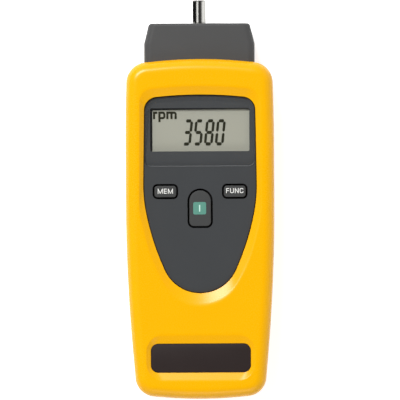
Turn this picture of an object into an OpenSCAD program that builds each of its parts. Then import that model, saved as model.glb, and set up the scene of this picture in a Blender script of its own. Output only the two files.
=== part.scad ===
// Hand-held tachometer with a plug-on contact head
// The body lies on its back: X across, Y along towards the spindle tip, Z out of the front face.
// Modules are drawn with Y measured from the body's lower end; place() moves them to the part's origin.

/* [Body] */
// Width of the body at its widest
body_w = 60; // [58:0.5:66]
// Thickness of the body, back to front
body_t = 28; // [27:0.5:32]
// Moulded wall thickness
wall = 2.2; // [1.8:0.1:2.6]
// Height of the joint between front and rear case
parting_z = 14; // [12:0.5:15]
// Depth of the groove along the case joint
parting_groove = 0.3; // [0.2:0.05:0.5]
// Rounding of the front edge
front_edge_r = 4.6; // [3.5:0.1:5.5]
// Rounding of the rear edge
rear_edge_r = 4; // [3:0.1:4.5]
// Radius of the arched upper end
top_arch_r = 180; // [140:5:300]
// Radius of the upper corners
top_corner_r = 8.5; // [7:0.5:10]
// How far each side draws in at the upper end
top_draw = 0.6; // [0.3:0.1:0.9]
// Radius of the arched lower end
low_arch_r = 175; // [140:5:300]
// Radius of the lower corners
low_corner_r = 8; // [6:0.5:9]
// Angle at which the sides draw in towards the lower end
side_taper = 5; // [3:0.25:6]
// Height at which the sides bend inwards
side_bend_y = 49; // [44:1:54]
// Radius of the bend in the sides
side_bend_r = 700; // [400:20:720]

/* [Front panel] */
// Width of the dark front panel
panel_w = 45.6; // [44:0.2:46.2]
// Height of the panel's lowest point above the body's lower end
panel_low = 42.6; // [40:0.2:46]
// Length of the panel
panel_len = 80.2; // [78:0.1:84]
// Distance from the panel's upper edge to the upper end of the body
panel_margin = 14.4; // [12:0.1:20]
// Distance of the panel's shoulders below its upper edge
panel_shoulder = 44.4; // [42:0.1:47]
// Half width at which the flanks turn into the nose
panel_flank = 16.7; // [16:0.1:17.5]
// Radius of the turn from the flanks into the nose
panel_flank_r = 50; // [40:1:51]
// Radius of the panel's nose
panel_nose_r = 15.2; // [13:0.2:15.4]
// Angle between the panel's middle line and the straight edges beside its nose
panel_nose_angle = 30; // [29.5:0.5:34]
// Radius of the panel's upper corners
panel_corner_r = 4.2; // [3:0.1:5]
// Radius of the panel's arched upper edge
panel_arch_r = 124; // [100:2:200]
// Width of the sloped surround above the panel
surround_top = 4.2; // [3:0.1:5]
// Width of the sloped surround beside the panel
surround_side = 2.2; // [1.8:0.1:2.8]
// Width of the sloped surround below the panel
surround_nose = 5; // [4:0.1:6]
// Depth of the sloped surround
surround_depth = 1.7; // [1.2:0.1:2]
// Step from the surround down to the panel
panel_step = 0.9; // [0.5:0.1:1.1]
// Thickness of the panel
panel_t = 1.6; // [1.4:0.1:2]

/* [Display] */
// Width of the opening over the display
view_w = 40; // [36:0.2:40.6]
// Height of the opening over the display
view_h = 17.5; // [15:0.1:18]
// Distance of the display's centre below the panel's upper edge
view_drop = 14.4; // [14:0.1:16]
// Thickness of the display window
window_t = 1; // [0.8:0.1:1.1]
// Length of the window, measured from the panel's upper edge
window_len = 29; // [27:0.1:31]
// Depth of the frame behind the opening, which holds the glass off the panel
view_frame = 0.8; // [0.5:0.1:1]
// Margin of display glass hidden around the opening
glass_margin = 1; // [0.8:0.1:1.1]
// Thickness of the display glass
glass_t = 2.4; // [2:0.1:2.6]

/* [Keys] */
// Width of the two small keys
small_key_w = 8.8; // [8:0.1:10]
// Height of the two small keys
small_key_h = 4.6; // [4:0.1:5.5]
// Distance of the small keys from the middle
small_key_x = 14; // [13:0.1:15]
// Distance of the small keys below the panel's upper edge
small_key_drop = 39.1; // [38:0.1:41]
// Width of the measuring key
measure_key_w = 8.7; // [8:0.1:10]
// Height of the measuring key
measure_key_h = 14.4; // [12:0.1:15]
// Distance of the measuring key's centre below the panel's upper edge
measure_key_drop = 45.9; // [45:0.1:48]
// How far the keys stand above the panel
key_rise = 0.7; // [0.5:0.1:1]
// How far a key travels when pressed
key_travel = 0.8; // [0.5:0.1:1]

/* [Nameplate] */
// Width of the nameplate
plate_w = 40.4; // [38:0.2:42]
// Height of the nameplate
plate_h = 11.8; // [10:0.1:12.5]
// Height of the nameplate's centre above the body's lower end
plate_y = 16.5; // [16:0.1:18]
// Depth of the sloped surround of the nameplate
plate_depth = 1.1; // [0.8:0.1:1.3]

/* [Contact head] */
// Width of the head
head_w = 44.6; // [43:0.2:46]
// Thickness of the head
head_t = 20; // [19:0.2:21]
// How far the head stands above the body
head_out = 14.3; // [13:0.1:16]
// Width of the head's top
head_top_w = 40.6; // [38:0.2:42]
// Height of the head's tapered part
head_taper_h = 8.2; // [6:0.2:9]
// Rounding of the head's long edges
head_edge_r = 3; // [2.2:0.1:4]
// Wall thickness of the head
head_wall = 1.8; // [1.5:0.1:2]

/* [Spindle] */
// Diameter of the contact spindle's tip
tip_d = 5.3; // [5:0.1:5.4]
// Length of the tip that stands out of the head
tip_out = 9.5; // [8:0.1:14]
// Bore of the ball bearings
bearing_bore = 4; // [3.6:0.1:4.2]
// Outside diameter of the ball bearings
bearing_od = 9; // [9:0.2:10]
// Width of one ball bearing
bearing_w = 2.5; // [2:0.1:2.6]
// Diameter of the target disc
disc_d = 15; // [13:0.5:15.5]
// Openings in the target disc
disc_slots = 6; // [4:1:8]

/* [Battery] */
// Diameter of a battery cell
cell_d = 14.2; // [13.8:0.1:14.5]
// Length of a battery cell without its cap
cell_len = 49.2; // [48:0.1:49.6]
// Width of the battery door's visible face
door_w = 31; // [31:0.2:32]
// Length of the battery door
door_len = 60; // [59:0.2:62]

/* [Fits] */
// Gap around moulded pieces that fit into one another
fit_gap = 0.2; // [0.15:0.05:0.3]
// Gap between the panel and the edge of its opening
panel_gap = 0.3; // [0.2:0.05:0.4]
// Gap around the keys
key_gap = 0.55; // [0.3:0.05:0.7]
// Gap between the head and the body's opening
head_gap = 0.25; // [0.2:0.05:0.35]

/* [Hidden] */
$fn = 64;
over = 1;

case_yellow = [1, 0.74, 0.02];
panel_grey = [0.29, 0.29, 0.3];
head_grey = [0.35, 0.35, 0.35];
steel = [0.78, 0.78, 0.8];

panel_top = panel_low + panel_len;
body_len = panel_top + panel_margin;
overall_len = body_len + head_out + tip_out;
axis_z = body_t / 2;
half_w = body_w / 2;

// Heights of the layers behind the front face
surround_z = body_t - surround_depth;
panel_z = surround_z - panel_step;
panel_back = panel_z - panel_t;
rim_t = 1.9;
rim_back = surround_z - rim_t;
flange_t = 1.1;
flange_out = 1.8;
glass_gap = 0.1;
glass_z = panel_back - view_frame - glass_gap;
zebra_h = 1.5;
board_z = glass_z - glass_t - zebra_h;
board_t = 1.6;
board_back = board_z - board_t;
board_w = 43;
front_inner_z = body_t - wall;

// Places along the body
view_y = panel_top - view_drop;
window_low = panel_top - window_len;
small_key_y = panel_top - small_key_drop;
measure_key_y = panel_top - measure_key_drop;
head_in = 3.9;
head_base = body_len - head_in;
head_top = body_len + head_out;
head_bend = head_top - head_taper_h;
block_len = 6.8;
block_gap = 0.1;
block_front = head_base - block_gap;
block_back = block_front - block_len;
nose_out = 4.7;
board_margin = 0.85;
board_top = view_y + view_h / 2 + glass_margin + board_margin;
tip_end = head_top + tip_out;

// Case screws: [x, y] on the right-hand side
screw_margin = 6.4;
screw_draw = 2.4;
screw_drop = 13.6;
screw_low_y = 14;
screw_high = [half_w - screw_margin, body_len - screw_drop];
screw_low = [half_w - screw_margin - screw_draw, screw_low_y];
screw_d = 2.2;
screw_clear = 0.4;
screw_head_h = 2;
screw_spare = 0.5;
pilot_clear = 0.06;
screw_bite = 8;
screw_head_d = 4.2;
screw_seat_z = 5;
boss_d = 5;
boss_wall = 1.5;
rear_boss_d = screw_head_d + 2 * boss_wall;

// Helpers

function unit(v) = v / norm(v);

// Arc that rounds corner b between its neighbours: [centre, radius, start angle, sweep]
function corner_arc(a, b, c) =
    let (u = unit([a.x - b.x, a.y - b.y]), w = unit([c.x - b.x, c.y - b.y]), half = acos(u * w) / 2,
        vertex = [b.x, b.y], centre = vertex + unit(u + w) * b.z / sin(half),
        start = vertex + u * b.z / tan(half) - centre)
    [centre, b.z, atan2(start.y, start.x), 180 - 2 * half];

// Points of a closed outline whose corners are [x, y, radius], moved inwards by inset
function outline(corners, inset = 0, steps = 6) =
    let (n = len(corners))
    [for (k = [0 : n - 1])
        let (arc = corner_arc(corners[(k + n - 1) % n], corners[k], corners[(k + 1) % n]))
        for (i = [0 : steps])
            let (angle = arc[2] + arc[3] * i / steps)
            arc[0] + (arc[1] - inset) * [cos(angle), sin(angle)]];

// Closes a right-hand list of corners, from the lower middle to the upper middle, with its mirror image
function both_sides(right) =
    concat(right, [for (i = [len(right) - 1 : -1 : 0])
        if (right[i].x > 0) [-right[i].x, right[i].y, right[i].z]]);

// Corners of a rectangle centred on the origin
function rectangle(w, h, r) =
    [[-w / 2, -h / 2, r], [w / 2, -h / 2, r], [w / 2, h / 2, r], [-w / 2, h / 2, r]];

function shifted(corners, x, y) = [for (c = corners) [c.x + x, c.y + y, c.z]];

function ring_at(points, z) = [for (p = points) [p.x, p.y, z]];

// Slope at the ends of an arch that meets corners of radius corner_r
function arch_angle(half, corner_r, arch_r) = asin((half - corner_r) / arch_r);

function arch_rise(arch_r, angle) = arch_r * (1 / cos(angle) - 1);

// Height and inset of a rounded edge: a quarter round from the wall at z to the face at z + r
function edge_levels(z, r, steps, up = 1) =
    [for (i = [0 : steps]) let (a = 90 * i / steps) [z + up * r * sin(a), r * (1 - cos(a))]];

module loft(rings) {
    n = len(rings[0]);
    m = len(rings);
    polyhedron(
        points = [for (r = rings) each r],
        faces = concat(
            [[for (j = [0 : n - 1]) j]],
            [for (i = [0 : m - 2], j = [0 : n - 1], half = [0, 1])
                let (k = (j + 1) % n, low = i * n, high = low + n)
                half == 0 ? [low + j, high + j, high + k] : [low + j, high + k, low + k]],
            [[for (j = [n - 1 : -1 : 0]) (m - 1) * n + j]]));
}

// A loft of one outline through levels of [height, inset]
module stepped(corners, levels, steps = 6) {
    loft([for (v = levels) ring_at(outline(corners, v[1], steps), v[0])]);
}

module plate(corners, z0, z1, inset = 0) {
    translate([0, 0, z0]) linear_extrude(z1 - z0) polygon(outline(corners, inset));
}

module place() {
    translate([0, -overall_len / 2, 0]) children();
}

// Turns local Z to the long axis, on the spindle's line
module along_axis() {
    translate([0, 0, axis_z]) rotate([-90, 0, 0]) children();
}

module both() {
    children();
    mirror([1, 0, 0]) children();
}

module block(low, high) {
    translate(low) cube(high - low);
}

// Outlines

// Place of the sides' upper bend below the upper end, and its reach to either side
top_bend_drop = 24;
top_bend_reach = 12;
function body_corners() =
    let (top_half = half_w - top_draw, top_a = arch_angle(top_half, top_corner_r, top_arch_r),
        top_apex = body_len + arch_rise(top_arch_r, top_a), top_y = top_apex - top_half * tan(top_a),
        bend_y = body_len - top_bend_drop, bend_a = atan(top_draw / (top_y - bend_y)),
        base_half = half_w - side_bend_y * tan(side_taper),
        low_a = arch_angle(base_half, low_corner_r, low_arch_r), low_apex = -arch_rise(low_arch_r, low_a),
        low_y = (low_apex + tan(low_a) * base_half) / (1 - tan(low_a) * tan(side_taper)))
    both_sides([
        [0, low_apex, low_arch_r],
        [base_half + low_y * tan(side_taper), low_y, low_corner_r],
        [half_w, side_bend_y, side_bend_r],
        [half_w, bend_y, top_bend_reach / tan(bend_a / 2)],
        [top_half, top_y, top_corner_r],
        [0, top_apex, top_arch_r]]);

// Shield outline: arched top, straight sides, flanks that turn into a round nose
upper_narrowing = 0.4;
function shield(half, low, top, shoulder_y, flank, flank_r, nose_r, corner_r, arch_r) =
    let (nose_apex = low + nose_r - nose_r / sin(panel_nose_angle), upper = half - upper_narrowing,
        top_a = arch_angle(upper, corner_r, arch_r), top_apex = top + arch_rise(arch_r, top_a))
    both_sides([
        [0, nose_apex, nose_r],
        [flank, nose_apex + flank / tan(panel_nose_angle), flank_r],
        [half, shoulder_y, shoulder_r],
        [upper, top_apex - upper * tan(top_a), corner_r],
        [0, top_apex, arch_r]]);
shoulder_r = 40;

shoulder_y = panel_top - panel_shoulder;
panel_corners = shield(panel_w / 2, panel_low, panel_top, shoulder_y, panel_flank, panel_flank_r,
    panel_nose_r, panel_corner_r, panel_arch_r);
// The surround's outer outline differs from the panel's by these amounts
shoulder_fall = 5.4;
flank_out = 3.2;
flank_tighten = 6;
nose_widen = 3;
corner_widen = 1.2;
arch_flatten = 70;
surround_corners = shield(panel_w / 2 + surround_side, panel_low - surround_nose, panel_top + surround_top,
    shoulder_y - shoulder_fall, panel_flank + flank_out, panel_flank_r - flank_tighten,
    panel_nose_r + nose_widen, panel_corner_r + corner_widen, panel_arch_r + arch_flatten);

plate_corner_r = 3;
plate_surround_r = 8;
plate_surround_side = 1.9;
plate_surround_end = 4;
plate_surround_up = 0.2;
plate_corners = shifted(rectangle(plate_w, plate_h, plate_corner_r), 0, plate_y);
plate_surround_corners = shifted(rectangle(plate_w + 2 * plate_surround_side,
    plate_h + 2 * plate_surround_end, plate_surround_r), 0, plate_y + plate_surround_up);

window_inset = 0.7;
window_corner_r = 2.7;
window_corners = let (half = panel_w / 2 - window_inset, upper = half - upper_narrowing,
        top_a = arch_angle(upper, panel_corner_r - window_inset, panel_arch_r),
        apex = panel_top - window_inset + arch_rise(panel_arch_r, top_a))
    both_sides([
        [half, window_low, window_corner_r],
        [upper, apex - upper * tan(top_a), panel_corner_r - window_inset],
        [0, apex, panel_arch_r]]);

view_corner_r = 0.6;
glass_corner_r = 0.4;
view_corners = shifted(rectangle(view_w, view_h, view_corner_r), 0, view_y);
glass_corners = shifted(rectangle(view_w + 2 * glass_margin, view_h + 2 * glass_margin, glass_corner_r),
    0, view_y);

small_key_r = 1.3;
measure_key_r = 1.9;
// Straight stretch left between the two round upper corners of the measuring key
crown_flat = 0.1;
small_key_corners = rectangle(small_key_w, small_key_h, small_key_r);
mem_corners = shifted(small_key_corners, -small_key_x, small_key_y);
func_corners = shifted(small_key_corners, small_key_x, small_key_y);
measure_corners = let (w = measure_key_w / 2, h = measure_key_h / 2, r = w - crown_flat / 2)
    shifted([[-w, -h, measure_key_r], [w, -h, measure_key_r], [w, h, r], [-w, h, r]], 0, measure_key_y);

function head_corners(w, t) = rectangle(w, t, head_edge_r);

// Cases

module body_upper_skin() {
    stepped(body_corners(), concat(
        [[parting_z, parting_groove], [parting_z + parting_groove, 0]],
        edge_levels(body_t - front_edge_r, front_edge_r, 5)));
}

module body_lower_skin() {
    rear = edge_levels(rear_edge_r, rear_edge_r, 4, -1);
    stepped(body_corners(), concat(
        [for (i = [len(rear) - 1 : -1 : 0]) rear[i]],
        [[parting_z - parting_groove, 0], [parting_z, parting_groove]]));
}

module front_cavity() {
    stepped(body_corners(), [for (v = concat([[parting_z - over, 0]],
        edge_levels(body_t - front_edge_r, front_edge_r - wall, 3))) [v[0], v[1] + wall]]);
}

module rear_cavity() {
    r = rear_edge_r - wall;
    rear = edge_levels(rear_edge_r, r, 2, -1);
    stepped(body_corners(), [for (v = concat([for (i = [len(rear) - 1 : -1 : 0]) rear[i]],
        [[parting_z + over, 0]])) [v[0], v[1] + wall]]);
}

surround_steps = 6;
// Cuts a sloped surround into the front face, and the opening or pocket inside it down to floor_z
module surround_cut(inner, outer, floor_z, edge_z) {
    p = outline(inner, 0, surround_steps);
    q = outline(outer, 0, surround_steps);
    k = (body_t + over - edge_z) / (body_t - edge_z);
    loft([ring_at(p, floor_z), ring_at(p, edge_z),
        ring_at([for (i = [0 : len(p) - 1]) p[i] + k * (q[i] - p[i])], body_t + over)]);
}

module head_opening() {
    along_axis() translate([0, 0, block_back]) linear_extrude(2 * head_taper_h)
        polygon(outline(head_corners(head_w + 2 * head_gap, head_t + 2 * head_gap)));
}

module at_screws() {
    both() for (p = [screw_low, screw_high]) translate([p.x, p.y, 0]) children();
}

plate_t = 0.7;
plate_sink = 0.2;
plate_floor = body_t - plate_depth - plate_t - plate_sink;
plate_rim = 1.4;
pocket_t = 1.6;
surround_rim = 0.8;
// How far ribs and rims reach into the wall they stand on
root = 0.2;
rib_t = 1.2;
front_rib_h = 5;
rear_rib_h = 4;
block_rib_y = block_back - fit_gap - rib_t;

module front_case() {
    color(case_yellow) difference() {
        union() {
            difference() {
                body_upper_skin();
                front_cavity();
            }
            plate(surround_corners, rim_back, front_inner_z + root, -surround_rim);
            plate(plate_corners, plate_floor - pocket_t, front_inner_z + root, -plate_rim);
            at_screws() translate([0, 0, parting_z + fit_gap])
                cylinder(d = boss_d, h = front_inner_z - parting_z);
            block([-screw_high.x, block_rib_y, front_inner_z - front_rib_h],
                [screw_high.x, block_rib_y + rib_t, front_inner_z + root]);
        }
        surround_cut(panel_corners, surround_corners, rim_back - over, surround_z);
        surround_cut(plate_corners, plate_surround_corners, plate_floor, body_t - plate_depth);
        head_opening();
        block_bar(fit_gap, block_back - fit_gap, block_front);
        at_screws() translate([0, 0, parting_z - over])
            cylinder(d = screw_d + pilot_clear, h = over + screw_bite);
    }
}

// Battery compartment and its sliding door
lip_t = 1.2;
tongue_t = 1.05;
tongue_out = 1.15;
tongue_lap = 0.1;
door_recess = 0.3;
door_z = lip_t + fit_gap;
door_top = door_z + tongue_t;
tub_half = door_w / 2 + 2 * fit_gap;
tub_wall = 1.6;
tub_end_wall = 1.4;
// The end wall clears the front case's wall, which follows the arched lower end
tub_wall_y = wall + pow(tub_half + tub_wall, 2) / (2 * low_arch_r) + fit_gap;
tub_low = tub_wall_y + tub_end_wall;
tub_beyond = 1;
cell_clear = 0.6;
tub_top_y = door_len + tub_beyond;
tub_roof = door_top + fit_gap + cell_d + cell_clear;
cell_x = (cell_d + cell_clear) / 2;
cell_z = door_top + fit_gap + cell_d / 2;

// Section of the door, widened by gap; its outer face starts at low
module door_section(gap, low) {
    block([-door_w / 2 - gap, -over, low], [door_w / 2 + gap, door_len + gap, door_z + tongue_lap]);
    block([-door_w / 2 - tongue_out - gap, -over, door_z - gap],
        [door_w / 2 + tongue_out + gap, door_len + gap, door_top + gap]);
}

grip_low = 12;
grip_pitch = 2.6;
grip_w = 1.2;
grip_half = 7;
grip_depth = 0.5;
module battery_door() {
    color(case_yellow) difference() {
        intersection() {
            body_lower_skin();
            door_section(0, door_recess);
        }
        for (i = [0 : 4])
            block([-grip_half, grip_low + i * grip_pitch, 0],
                [grip_half, grip_low + i * grip_pitch + grip_w, door_recess + grip_depth]);
    }
}

support_x = 18;
support_d = 4;
module rear_case() {
    color(case_yellow) difference() {
        union() {
            difference() {
                body_lower_skin();
                rear_cavity();
            }
            block([-tub_half - tub_wall, tub_wall_y, wall - root],
                [tub_half + tub_wall, tub_top_y + tub_wall, tub_roof + tub_wall]);
            block([-tub_half - tub_wall, wall, wall - root],
                [tub_half + tub_wall, tub_low, parting_z - fit_gap]);
            at_screws() translate([0, 0, wall / 2]) cylinder(d = rear_boss_d, h = parting_z - wall / 2);
            block([-screw_high.x, block_rib_y, wall - root],
                [screw_high.x, block_rib_y + rib_t, wall + rear_rib_h]);
            both() translate([support_x, view_y, wall - root])
                cylinder(d = support_d, h = board_back - fit_gap - wall + root);
        }
        block([-tub_half, tub_low, door_z], [tub_half, tub_top_y, tub_roof]);
        door_section(fit_gap, -over);
        head_opening();
        at_screws() {
            translate([0, 0, -over]) cylinder(d = screw_head_d + screw_clear, h = screw_seat_z + over);
            cylinder(d = screw_d + screw_clear, h = body_t);
        }
    }
}

// Front panel, display and keys

key_flange_t = 0.7;
key_flange_out = 0.8;
key_back = panel_back - fit_gap - key_flange_t;
board_clear = 1.4;
board_low = tub_top_y + tub_wall + board_clear;
post_d = 5;
post_screw_d = 1.9;
post_bite = 3.6;
post_hole = 4;
post_head_d = 4;
post_head_h = 1.4;
post_x = [19, 15.5];
post_drop = 1.4;
// The lower posts stand halfway between the board's lower edge and the small keys
key_edge_y = small_key_y - small_key_h / 2 - key_gap - key_flange_out;
posts = [[post_x[0], window_low - post_drop], [post_x[1], (board_low + key_edge_y) / 2]];
flange_gap = 0.1;
flange_z = rim_back - flange_gap;
fascia_wall = 1.2;

module at_posts() {
    both() for (p = posts) translate([p.x, p.y, 0]) children();
}

module fascia() {
    color(panel_grey) difference() {
        union() {
            difference() {
                union() {
                    plate(panel_corners, panel_back, panel_z, panel_gap);
                    plate(panel_corners, flange_z - flange_t, flange_z, -flange_out);
                }
                plate(panel_corners, board_z, panel_back, panel_gap + fascia_wall);
                plate(glass_corners, board_z, panel_back, -fit_gap);
            }
            plate(glass_corners, panel_back - view_frame, panel_back + root);
            at_posts() translate([0, 0, board_z]) cylinder(d = post_d, h = panel_back - board_z + root);
        }
        for (c = [mem_corners, func_corners, measure_corners]) plate(c, board_z, body_t, -key_gap);
        plate(view_corners, board_z, body_t);
        plate(window_corners, panel_z - window_t, body_t);
        at_posts() translate([0, 0, board_z - over])
            cylinder(d = post_screw_d + pilot_clear, h = over + post_hole);
        at_screws() cylinder(d = boss_d + 2 * fit_gap, h = body_t);
    }
}

window_gap = 0.12;
module display_window() {
    color([0.85, 0.9, 0.92, 0.35]) plate(window_corners, panel_z - window_t, panel_z, window_gap);
}

module display_glass() {
    color([0.66, 0.66, 0.61]) plate(glass_corners, glass_z - glass_t, glass_z);
}

zebra_w = 2;
zebra_edge = 0.3;
zebra_end = 1;
module zebra_strips() {
    color([0.2, 0.2, 0.2]) for (side = [-1, 1])
        translate([0, view_y + side * (view_h / 2 + glass_margin - zebra_w / 2 - zebra_edge), 0])
            block([-view_w / 2 + zebra_end, -zebra_w / 2, board_z],
                [view_w / 2 - zebra_end, zebra_w / 2, glass_z - glass_t]);
}

board_corner_r = 2;
module circuit_board() {
    color([0.1, 0.4, 0.2]) difference() {
        translate([0, (board_top + board_low) / 2, 0])
            plate(rectangle(board_w, board_top - board_low, board_corner_r), board_back, board_z);
        at_posts() cylinder(d = post_screw_d + screw_clear, h = body_t);
        at_screws() cylinder(d = boss_d + 2 * fit_gap, h = body_t);
    }
}

chip_drop = 12;
chip_y = view_y - chip_drop;
chip_w = 10;
chip_h = 1.5;
chip_corner_r = 0.5;
mark_d = 1;
mark_depth = 0.3;
chip_mark = chip_w / 2 - 1.6 * mark_d;
module controller_chip() {
    color([0.12, 0.12, 0.13]) translate([0, chip_y, 0]) difference() {
        plate(rectangle(chip_w, chip_w, chip_corner_r), board_back - chip_h, board_back);
        translate([-chip_mark, -chip_mark, board_back - chip_h - over])
            cylinder(d = mark_d, h = over + mark_depth);
    }
}

crystal_x = 13;
crystal_w = 4.4;
crystal_len = 10.6;
crystal_h = 3.4;
module quartz_crystal() {
    color(steel) translate([-crystal_x, chip_y, 0])
        plate(rectangle(crystal_w, crystal_len, 0.45 * crystal_w), board_back - crystal_h, board_back);
}

// A cross-recessed screw: the head lies below z = 0 and the shank rises from it
cross_share = 0.64;
cross_w = 0.6;
module cross_screw(d, length, head_d, head_h) {
    cross = cross_share * head_d;
    difference() {
        union() {
            translate([0, 0, -head_h]) cylinder(d = head_d, h = head_h);
            translate([0, 0, -root]) cylinder(d = d, h = length + root);
        }
        for (a = [0, 90]) rotate(a) translate([-cross / 2, -cross_w / 2, -head_h - over])
            cube([cross, cross_w, over + head_h / 2]);
    }
}

module board_screws() {
    color(steel) at_posts() translate([0, 0, board_back])
        cross_screw(post_screw_d, board_t + post_bite, post_head_d, post_head_h);
}

module case_screws() {
    color(steel) at_screws() translate([0, 0, screw_seat_z])
        cross_screw(screw_d, parting_z + screw_bite - screw_spare - screw_seat_z,
            screw_head_d, screw_head_h);
}

plate_gap = 0.1;
plate_chamfer = 0.2;
module nameplate() {
    face_z = plate_floor + plate_t;
    color([0.22, 0.2, 0.19]) stepped(plate_corners, [[plate_floor, plate_gap],
        [face_z - plate_chamfer, plate_gap], [face_z, plate_gap + plate_chamfer]]);
}

key_edge_r = 0.45;
module key(corners, tint) {
    color(tint) union() {
        stepped(corners, concat([[key_back, 0]],
            edge_levels(panel_z + key_rise - key_edge_r, key_edge_r, 3)));
        plate(corners, key_back, key_back + key_flange_t, -key_gap - key_flange_out);
    }
}

module mem_button() { key(mem_corners, [0.31, 0.31, 0.32]); }
module func_button() { key(func_corners, [0.31, 0.31, 0.32]); }
module measure_button() { key(measure_corners, [0.33, 0.33, 0.34]); }

dome_wall = 0.8;
dome_draw = 2;
slip = 0.01;
small_dome_d = 6.4;
measure_dome_d = 8;
module dome(x, y, d) {
    h = key_back - board_z;
    color([0.8, 0.8, 0.78]) translate([x, y, board_z]) difference() {
        cylinder(d1 = d, d2 = d - dome_draw, h = h);
        translate([0, 0, -slip])
            cylinder(d1 = d - 2 * dome_wall, d2 = d - dome_draw - 2 * dome_wall, h = h - dome_wall);
    }
}

module mem_dome() { dome(-small_key_x, small_key_y, small_dome_d); }
module func_dome() { dome(small_key_x, small_key_y, small_dome_d); }
module measure_dome() { dome(0, measure_key_y, measure_dome_d); }

// Battery cells and contacts

contact_t = 0.4;
contact_w = 12;
cap_d = 5.4;
cap_h = 1.2;
wire_d = 0.8;
wire_sink = 0.1;
coil_low_r = 4.6;
coil_high_r = 2.6;
coil_turns = 4;
cell_low = tub_low + contact_t;
cell_high = tub_top_y - contact_t;
spring_len = cell_high - cell_low - cell_len - cap_h;

// A cell that stands on its flat end
module cell() {
    color([0.2, 0.22, 0.26]) union() {
        cylinder(d = cell_d, h = cell_len);
        cylinder(d = cap_d, h = cell_len + cap_h);
    }
}

module at_cell(side, y, flip = false) {
    translate([side * cell_x, y, cell_z]) rotate([flip ? 90 : -90, 0, 0]) children();
}

module battery_left() { at_cell(-1, cell_high - cap_h - cell_len) cell(); }
module battery_right() { at_cell(1, cell_low + cap_h + cell_len, true) cell(); }

// A contact plate whose inner face lies at z = 0
module contact_plate() {
    translate([-contact_w / 2, -contact_w / 2, -contact_t]) cube([contact_w, contact_w, contact_t]);
}

// A conical coil: the wire winds about Z while its radius shrinks, each section a hexagon across the wire
module coil(length, r0, r1, turns) {
    steps = turns * 12;
    loft([for (i = [0 : steps])
        let (a = 360 * turns * i / steps, r = r0 + (r1 - r0) * i / steps,
            h = wire_d / 2 - wire_sink + (length - wire_d) * i / steps)
        [for (b = [0 : 60 : 300]) let (q = r + wire_d / 2 * sin(b))
            [q * cos(a), q * sin(a), h + wire_d / 2 * cos(b)]]]);
}

module spring_contact() {
    contact_plate();
    coil(spring_len, coil_low_r, coil_high_r, coil_turns);
}

module spring_contacts() {
    color(steel) {
        at_cell(-1, cell_low) spring_contact();
        at_cell(1, cell_high, true) spring_contact();
    }
}

module plate_contacts() {
    color(steel) {
        at_cell(-1, cell_high, true) contact_plate();
        at_cell(1, cell_low) contact_plate();
    }
}

// Optics in the body's upper end

block_edge = 0.6;
nose_fit = 0.3;
nose_in = 2 * (head_wall + nose_fit);
nose_front = block_front + nose_out;
beam_x = 8;
laser_d = 6.6;
diode_d = 5;
lens_d = 9.4;
lens_back = 6.6;
lens_seat = block_back + lens_back;
optic_w = 28;
optic_h = 11.4;
optic_t = 1.2;
optic_r = 1.4;
optic_sink = 0.1;
bore_gap = 0.1;

module bar(w, t, r, y0, y1) {
    along_axis() translate([0, 0, y0]) linear_extrude(y1 - y0) polygon(outline(rectangle(w, t, r)));
}

// The optics' block, widened by gap
module block_bar(gap, y0, y1) {
    rim = 2 * (block_edge + gap);
    bar(head_w + rim, head_t + rim, head_edge_r, y0, y1);
}

module at_beam(side, y) {
    along_axis() translate([side * beam_x, 0, y]) children();
}

module sensor_block() {
    color([0.16, 0.16, 0.17]) difference() {
        union() {
            block_bar(0, block_back, block_front);
            bar(head_w - nose_in, head_t - nose_in, head_edge_r - head_wall, block_front - over, nose_front);
        }
        bar(optic_w + fit_gap, optic_h + fit_gap, optic_r + fit_gap / 2,
            nose_front - optic_t, nose_front + over);
        at_beam(-1, block_back - over) cylinder(d = laser_d + bore_gap, h = nose_front);
        at_beam(1, block_back - over) cylinder(d = diode_d + bore_gap, h = nose_front);
        at_beam(1, lens_seat) cylinder(d = lens_d + bore_gap, h = nose_front);
        at_screws() cylinder(d = rear_boss_d + 2 * fit_gap, h = body_t);
    }
}

sensor_board_w = 34;
sensor_board_h = 12.6;
sensor_board_r = 1;
module sensor_board() {
    color([0.1, 0.4, 0.2])
        bar(sensor_board_w, sensor_board_h, sensor_board_r, block_back - board_t, block_back);
}

laser_len = 9.4;
laser_mouth_d = 2.4;
laser_mouth = 0.8;
module laser_module() {
    color([0.72, 0.56, 0.25]) at_beam(-1, block_back) difference() {
        cylinder(d = laser_d, h = laser_len);
        translate([0, 0, laser_len - laser_mouth]) cylinder(d = laser_mouth_d, h = over);
    }
}

diode_h = 3.4;
diode_dome_d = 3.6;
diode_sink = 0.8;
module photodiode() {
    color(steel) at_beam(1, block_back) union() {
        cylinder(d = diode_d, h = diode_h);
        translate([0, 0, diode_h - diode_sink]) sphere(d = diode_dome_d);
    }
}

lens_r = 12;
lens_edge = 1.4;
lens_crown = lens_r - sqrt(lens_r * lens_r - lens_d * lens_d / 4);
module receiver_lens() {
    color([0.8, 0.9, 0.95, 0.5]) at_beam(1, lens_seat) intersection() {
        cylinder(d = lens_d, h = lens_edge + lens_crown + over);
        translate([0, 0, lens_edge + lens_crown - lens_r]) sphere(r = lens_r);
    }
}

module optical_window() {
    color([0.5, 0.05, 0.06, 0.7])
        bar(optic_w, optic_h, optic_r, nose_front - optic_t, nose_front - optic_sink);
}

// Contact head

head_cap = 2;
bearing_sink = 0.3;
top_bearing_y = head_top - head_cap - bearing_sink;
spacer_len = 2.8;
low_bearing_y = top_bearing_y - bearing_w - spacer_len;
bearings_end = low_bearing_y - bearing_w;
retainer_t = 0.6;
tube_lip = 0.2;
tube_wall = 2;
tube_end = bearings_end - retainer_t - tube_lip;
tube_d = bearing_od + 2 * tube_wall;
disc_t = 1.2;
disc_gap = 0.4;
disc_y = tube_end - disc_gap - disc_t;
tip_chamfer = 0.5;
tip_hole_gap = 0.3;

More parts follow.
